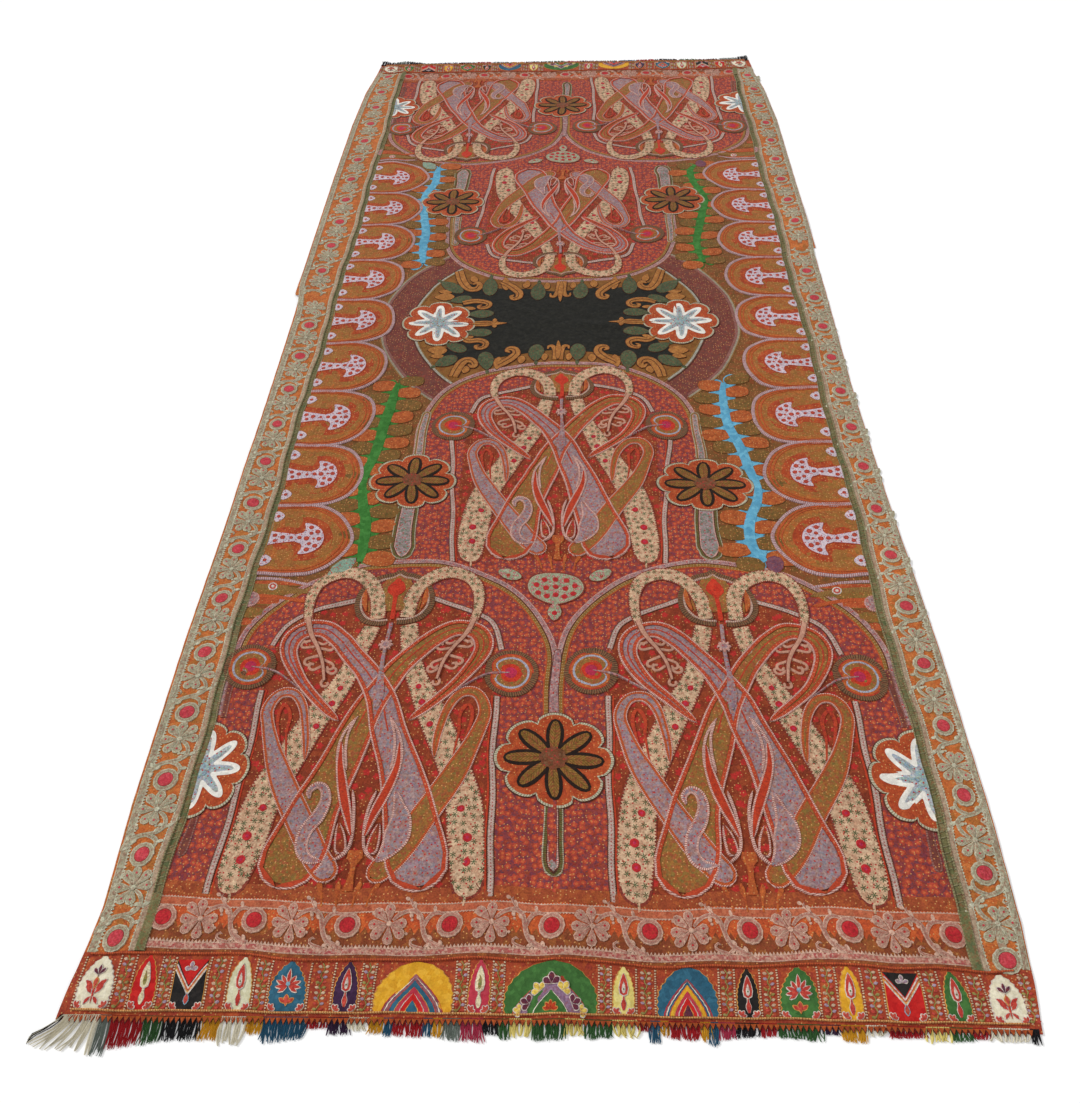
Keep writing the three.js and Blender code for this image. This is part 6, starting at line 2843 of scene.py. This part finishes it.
FAR_TUFTS = (
    (-0.69, Yarn.BLACK, 1.0), (-0.64, Yarn.SMOKE, 0.9), (-0.59, Yarn.BLACK, 0.9), (-0.53, Yarn.GREEN, 0.7),
    (-0.47, Yarn.BLUE, 0.8), (-0.4, Yarn.BLACK, 0.7), (-0.33, Yarn.RED, 0.8), (-0.27, Yarn.SMOKE, 0.8),
    (-0.2, Yarn.YELLOW, 0.7), (-0.15, Yarn.BLACK, 0.8), (-0.08, Yarn.GREEN, 0.8), (0.0, Yarn.RED, 0.7),
    (0.06, Yarn.BLACK, 0.8), (0.13, Yarn.SMOKE, 0.8), (0.2, Yarn.BLUE, 0.8), (0.27, Yarn.RED, 0.8),
    (0.34, Yarn.BLACK, 0.8), (0.43, Yarn.GREEN, 0.8), (0.5, Yarn.BLACK, 0.8), (0.58, Yarn.SMOKE, 0.9),
    (0.64, Yarn.BLACK, 1.0),
)


@dataclass
class Fringe:
    """A fringe of loose yarns past one end of the cloth."""

    name: str
    edge: float
    away: int
    reach: Reach
    tufts: Sequence[tuple[float, Yarn, float]]
    spacing: float = 0.001
    thickness: float = 0.0011
    work: Needlework = field(init=False)

    def build(self) -> Piece:
        """Lays every yarn of the fringe.

        Returns:
            The piece.
        """
        self.work = Needlework(self.name)
        draw = np.random.default_rng(11 + self.away)
        starts = np.array([tuft[0] for tuft in self.tufts])
        spread = np.array([row[0] for row in self.reach.table])
        left, right = starts[0], min(spread[-1], 0.684)
        x = left
        while x < right:
            tuft = int(np.searchsorted(starts, x, side="right")) - 1
            _, colour, share = self.tufts[tuft]
            cord = colour in (Yarn.CREAM, Yarn.LEMON)
            middle = (starts[tuft] + (starts[tuft + 1] if tuft + 1 < len(starts) else right)) / 2
            length = float(self.reach.at(x)) * share * draw.uniform(0.8, 1.0)
            drift = (middle - x) * draw.uniform(-0.15, 0.3) + draw.normal(0, 0.0025)
            if x < left + 0.06 and self.away < 0:
                drift -= 0.9 * (left + 0.06 - x)
            self._yarn(float(x), length, drift, colour, draw, 2.0 if cord else 1.0)
            x += self.spacing * (3.2 if cord else 1.0)
        return self.work.make()

    def _yarn(
        self, x: float, length: float, drift: float, colour: Yarn,
        draw: np.random.Generator, bulk: float
    ) -> None:
        """Lays one yarn, as a thin round thread that droops to the floor.

        Args:
            x: Where it leaves the cloth.
            length: How far it reaches.
            drift: How far its tip lies to the right.
            colour: Its colour.
            draw: The random numbers.
            bulk: How much thicker it is than most.
        """
        t = np.linspace(0, 1, 5)
        bow = draw.normal(0, 0.0018 * bulk)
        across = x + drift * t**1.5 + bow * np.sin(math.pi * t)
        low, high = self.reach.table[0][0] - 0.004, self.reach.table[-1][0] - 0.003
        across = np.clip(across, low, high)
        along = self.edge + self.away * (
            length * t - 0.006 * (1 - t)
        ) - float(CLOTH.sag(x, self.edge)) * (1 - 0.5 * t)
        start = float(CLOTH.top(np.array([x]), np.array([self.edge]))[0]) + 0.0006
        height = np.maximum(start * (1 - t) ** 2, self.thickness * 1.1) + abs(draw.normal(0, 0.0004))
        turn = np.radians((90, 210, 330))
        thick = self.thickness * bulk * np.array([1, 1.1, 1, 0.9, 0.5])
        ring_x = across[:, None] + thick[:, None] * np.cos(turn) * draw.uniform(0.9, 1.3)
        ring_z = height[:, None] + thick[:, None] * np.sin(turn)
        ring_y = np.broadcast_to(along[:, None] + CLOTH.near_edge, ring_x.shape)
        points = np.stack([ring_x, ring_y, ring_z], -1).reshape(-1, 3)
        rows, triangles = len(t), []
        for i in range(rows - 1):
            for j in range(3):
                a, b = 3 * i + j, 3 * i + (j + 1) % 3
                if self.away < 0:
                    triangles += [(a, b, b + 3), (a, b + 3, a + 3)]
                else:
                    triangles += [(b, a, a + 3), (b, a + 3, b + 3)]
        stitches = np.stack([np.repeat(t * length, 3), np.tile(turn / 600, rows)], 1)
        finish = YARN_FINISHES[colour]
        self.work.add(
            points, np.array(triangles), np.full(len(triangles), self.work.slot(finish)), stitches
        )


YARN_FINISHES = {yarn: Broadcloth("yarn_" + yarn.name.lower(), yarn.value) for yarn in Yarn}


# ---------------------------------------------------------------- the studio
@dataclass
class Studio:
    """The pale floor, the soft light and the camera."""

    lens: float = 29.96
    camera: tuple[float, float, float] = (0.04, -0.342, 1.4005)  # from the near edge of the cloth
    pitch: float = 49.0  # degrees below the horizon
    yaw: float = 3.15
    roll: float = -2.17
    skylight: float = 0.68
    sun: float = 1.75
    sun_width: float = 14.0  # degrees
    sun_place: tuple[float, float, float] = (-3.6, 1.6, 3.0)

    def build(self) -> None:
        """Sets up the whole studio."""
        scene = bpy.context.scene
        scene.view_settings.view_transform = "Standard"
        self._camera(scene)
        self._floor()
        self._light(scene)

    def _camera(self, scene: bpy.types.Scene) -> None:
        """Adds the camera.

        Args:
            scene: The scene.
        """
        lens = bpy.data.cameras.new("Camera")
        lens.lens = self.lens
        lens.clip_start, lens.clip_end = 0.01, 100
        camera = bpy.data.objects.new("Camera", lens)
        turn = Matrix.Rotation(math.radians(self.yaw), 4, "Z")
        tilt = Matrix.Rotation(math.radians(90 - self.pitch), 4, "X")
        lean = Matrix.Rotation(math.radians(self.roll), 4, "Z")
        x, y, z = self.camera
        camera.matrix_world = Matrix.Translation((x, y + CLOTH.near_edge, z)) @ turn @ tilt @ lean
        scene.collection.objects.link(camera)
        scene.camera = camera

    @staticmethod
    def _floor() -> None:
        """Adds the floor."""
        bpy.ops.mesh.primitive_plane_add(size=40, location=(0, 0, -0.0005))
        floor = bpy.context.object
        floor.name = "floor"
        bath = Dyebath("floor")
        shade = bath.noise(bath.place(), 1.5) * 0.02 + 0.9
        white = bath.shade(bath.blend(0.0, dye("fbfbfb"), dye("fbfbfb")), shade)
        paper = {
            "Base Color": white, "Roughness": 0.9, "Emission Color": dye("ffffff"),
            "Emission Strength": 0.16
        }
        shader = bath.node("BsdfPrincipled", {}, paper)
        bath.node("OutputMaterial", {}, {"Surface": bath.wire(shader)})
        floor.data.materials.append(bath.material)

    def _light(self, scene: bpy.types.Scene) -> None:
        """Adds the soft overall light and a broad beam from the upper left.

        Args:
            scene: The scene.
        """
        world = bpy.data.worlds.new("Studio")
        world.use_nodes = True
        sky = world.node_tree.nodes["Background"].inputs
        sky[0].default_value = (1, 1, 1, 1)
        sky[1].default_value = self.skylight
        scene.world = world
        data = bpy.data.lights.new("Window", "SUN")
        data.energy = self.sun
        data.angle = math.radians(self.sun_width)
        lamp = bpy.data.objects.new("Window", data)
        lamp.location = self.sun_place
        lamp.rotation_mode = "QUATERNION"
        lamp.rotation_quaternion = (-lamp.location).to_track_quat("-Z", "Y")
        scene.collection.objects.link(lamp)


# ---------------------------------------------------------------- the whole shawl
@dataclass(frozen=True)
class Dress:
    """The face of one kind of panel, its zones, and the name of a slot."""

    face: Finish
    slot: str
    zones: tuple = ()


@dataclass(frozen=True, eq=False)
class Within:
    """A zone of a panel that lies inside an outline."""

    outline: Array

    def __call__(self, x: Array, y: Array) -> Array:
        """Whether each place lies in the zone."""
        return inside(self.outline, x, y)


def outer_half(x: Array, y: Array) -> Array:
    """Whether each place lies in the outer half of a cross border, towards the end of the shawl."""
    return (y < 0.123) | (y > 3.196)


class Shawl:
    """The whole shawl: its panels, the needlework on them and its fringes."""

    def __init__(self) -> None:
        """Cuts the cloth."""
        self.cutter = Cutter()
        self.upon: dict[str, list[Piece]] = {}

    def build(self) -> None:
        """Builds every piece in order."""
        self._ends()
        self._borders()
        self._field()
        self._flanks()
        self._panels()

    def _put(self, panel: str, slot: str, *pieces: Piece) -> None:
        """Gives pieces of needlework to the panel that they are stitched on.

        Args:
            panel: The panel's name.
            slot: Not used.
            pieces: The needlework.
        """
        for piece in pieces:
            self.upon.setdefault(panel, []).append(piece)

    def _ends(self) -> None:
        """Stitches both end borders and lays their fringes."""
        near = EndRow("near", False, 0.0125, 1.0)
        far = EndRow("far", True, 3.289, 0.86)
        for row in (near, far):
            for panel, cell in row.cells().items():
                self._put(panel, "cream", cell.build())
            self._put(f"{row.end}_end_panel_09", "border", row.hem())
        for end, fringe in (
            ("near", Fringe("near_fringe_yarns", 0.0, -1, NEAR_REACH, NEAR_TUFTS)),
            ("far", Fringe("far_fringe_yarns", CLOTH_LENGTH, 1, FAR_REACH, FAR_TUFTS, 0.0016, 0.0013)),
        ):
            yarns = fringe.build()
            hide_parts(f"{end}_fringe")
            self._put(f"{end}_end_panel_09", "fringe", yarns)

    def _borders(self) -> None:
        """Stitches the cross borders, the side borders and the guard stripes."""
        bands = (0.0475, (0.0095, 0.0047), (0.0725, 0.0065))
        near = Vine(
            "near_cross_vine", Place(0, NEAR_BAND), -0.589, 0.617, NEAR_ROSETTES, CROSS_DRESS, *bands
        )
        self._put("near_cross_border", "cross", near.build())
        turned = tuple(-x for x in NEAR_ROSETTES[::-1])
        across = Place(0, FAR_BAND, 180, stretch=0.85)
        far = Vine("far_cross_vine", across, -0.617, 0.589, turned, CROSS_DRESS, *bands)
        self._put("far_cross_border", "cross", far.build())
        for side, guard in (("left", LEFT_GUARD), ("right", RIGHT_GUARD)):
            cuts = (NEAR_BAND, *BORDER_CUTS[side], FAR_BAND)
            for number, (low, high) in enumerate(zip(cuts, cuts[1:]), 1):
                vine = self._side_vine(side, number, low, high)
                self._put(f"{side}_border_{number}", "border", vine.build())
                ticks = GuardTicks(f"{side}_guard_ticks_{number}", guard, low, high)
                self._put(f"{side}_guard_{number}", "guard", ticks.build())

    @staticmethod
    def _side_vine(side: str, number: int, low: float, high: float) -> Vine:
        """The scrolled work of one length of a side border.

        Args:
            side: The side, left or right.
            number: The number of the length.
            low: Where it begins.
            high: Where it ends.

        Returns:
            The vine.
        """
        rosettes = LEFT_ROSETTES if side == "left" else RIGHT_ROSETTES
        inner = LEFT_GUARD[0] if side == "left" else RIGHT_GUARD[1]
        name = f"{side}_border_vine_{number}"
        stops = np.linspace(low, high, 24)
        if side == "left":
            width = 0.084
            rim = tuple((-y, float(CLOTH.left(y)) - inner + width) for y in stops[::-1])
            turned = tuple(-y for y in rosettes[::-1])
            sizes = (0.0435, (0.01, 0.006), (width - 0.005, 0.005), 1.04, True, rim)
            return Vine(name, Place(inner - width, 0.0, -90), -high, -low, turned, SIDE_DRESS, *sizes)
        width = 0.073
        rim = tuple((y, inner + width - float(CLOTH.right(y))) for y in stops)
        sizes = (0.0335, (0.0068, 0.0048), (width - 0.005, 0.005), 0.98, True, rim)
        return Vine(name, Place(inner + width, 0.0, 90), low, high, rosettes, SIDE_DRESS, *sizes)

    def _field(self) -> None:
        """Stitches the domes, the stars, the stems and the medallion."""
        for dome in DOMES:
            self._put(dome.panel, "arch", dome.build())
        self._put("near_arched_field", "field", FieldWork("near_stems", False).build())
        self._put("far_arched_field", "field", FieldWork("far_stems", True).build())
        for number, piece in enumerate(Medallion().build()):
            panel = ("centre_field", "left_ring", "right_ring")[number]
            self._put(panel, ("centre", "ring", "ring")[number], piece)
        for figure in STARS:
            x, y = figure.place.x, figure.place.y
            near = "near_arched_field" if y < 0.8 else "far_arched_field" if y > 2.6 else ""
            flank = f"{'left' if x < 0 else 'right'}_flank_{1 if y < 1.2 else 3}"
            panel = near or ("centre_field" if 1.4 < y < 1.9 else flank)
            self._put(panel, "ring", figure.build())

    def _flanks(self) -> None:
        """Stitches both flanks."""
        left = Flank(
            -1, LEFT_GUARD[1], tuple(0.905 + 0.1895 * k for k in range(9)), GREEN_RIVER, BLUE_RIVER,
            LEFT_COURSE
        )
        right = Flank(
            1, RIGHT_GUARD[0], tuple(0.91 + 0.189 * k for k in range(9)), BLUE_RIVER, GREEN_RIVER,
            RIGHT_COURSE
        )
        for flank in (left, right):
            near, far, *niches = flank.build()
            self._put(f"{flank.name}_flank_1", "green", near)
            self._put(f"{flank.name}_flank_3", "green", far)
            for number, piece in enumerate(niches, 1):
                self._put(f"{flank.name}_flank_{number}", "rose", piece)

    def _panels(self) -> None:
        """Makes every panel, and logs the size that each was cut to."""
        crowns = tuple((Within(dome.inner_ground()), RUST) for dome in DOMES)
        cross = Dress(CROSS_UPPER, "cross", ((outer_half, CROSS_LOWER),))
        arched = Dress(MILLEFLEUR, "arch", crowns)
        dresses = {
            "near_cross_border": cross,
            "far_cross_border": cross,
            "near_arched_field": Dress(MILLEFLEUR, "field", crowns),
            "far_arched_field": Dress(MILLEFLEUR, "field", crowns),
            "middle_near_arch": arched,
            "middle_far_arch": arched,
            "centre_field": Dress(GOLD_GROUND, "centre"),
            "left_ring": Dress(RING_MAUVE, "ring"),
            "right_ring": Dress(RING_MAUVE, "ring"),
        }
        kinds = {
            "border": Dress(SIDE_GROUND, "border"),
            "guard": Dress(GUARD_GROUND, "guard"),
            "flank": Dress(FLANK_GROUND, "field"),
        }
        for name, triangles in self.cutter.regions().items():
            base, _, number = name.rpartition("_")
            node = name
            if name in dresses:
                dress = dresses[name]
            elif "end_panel" in name:
                dress = Dress(
                    STRIP_GROUND, CELLS[int(number) - 1 if "near" in name else 17 - int(number)][2]
                )
            else:
                dress = kinds[base.rpartition("_")[2]]
                node = base + ("" if "border" not in name else "_near" if int(number) < 3 else "_far")
            panel = Panel(name + "_cloth", node, dress.slot, dress.face, BACK, dress.zones)
            piece = panel.build(self.cutter.places, triangles).make()
            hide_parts(node)
            self._declare(piece, triangles)

    def _declare(self, piece: Piece, triangles: Array) -> None:
        """Logs the size that a panel was cut to, and how much of it the panel fills.

        Args:
            piece: The panel.
            triangles: The triangles that it was cut to.
        """
        places = self.cutter.places
        width, length = np.ptp(places[np.unique(triangles)], axis=0)
        a, b, c = (places[triangles[:, i]] for i in range(3))
        area = float(np.abs((b - a)[:, 0] * (c - a)[:, 1] - (b - a)[:, 1] * (c - a)[:, 0]).sum() / 2)
        LOG.info(
            "%s: cut %.3f by %.3f m, fills %.2f of it", piece.name, width, length, area / width / length
        )


def main() -> None:
    """Builds the shawl round its frame, and the studio."""
    logging.basicConfig(level=logging.INFO, format="%(message)s")
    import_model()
    Studio().build()
    Shawl().build()


if __name__ == "__main__":
    main()
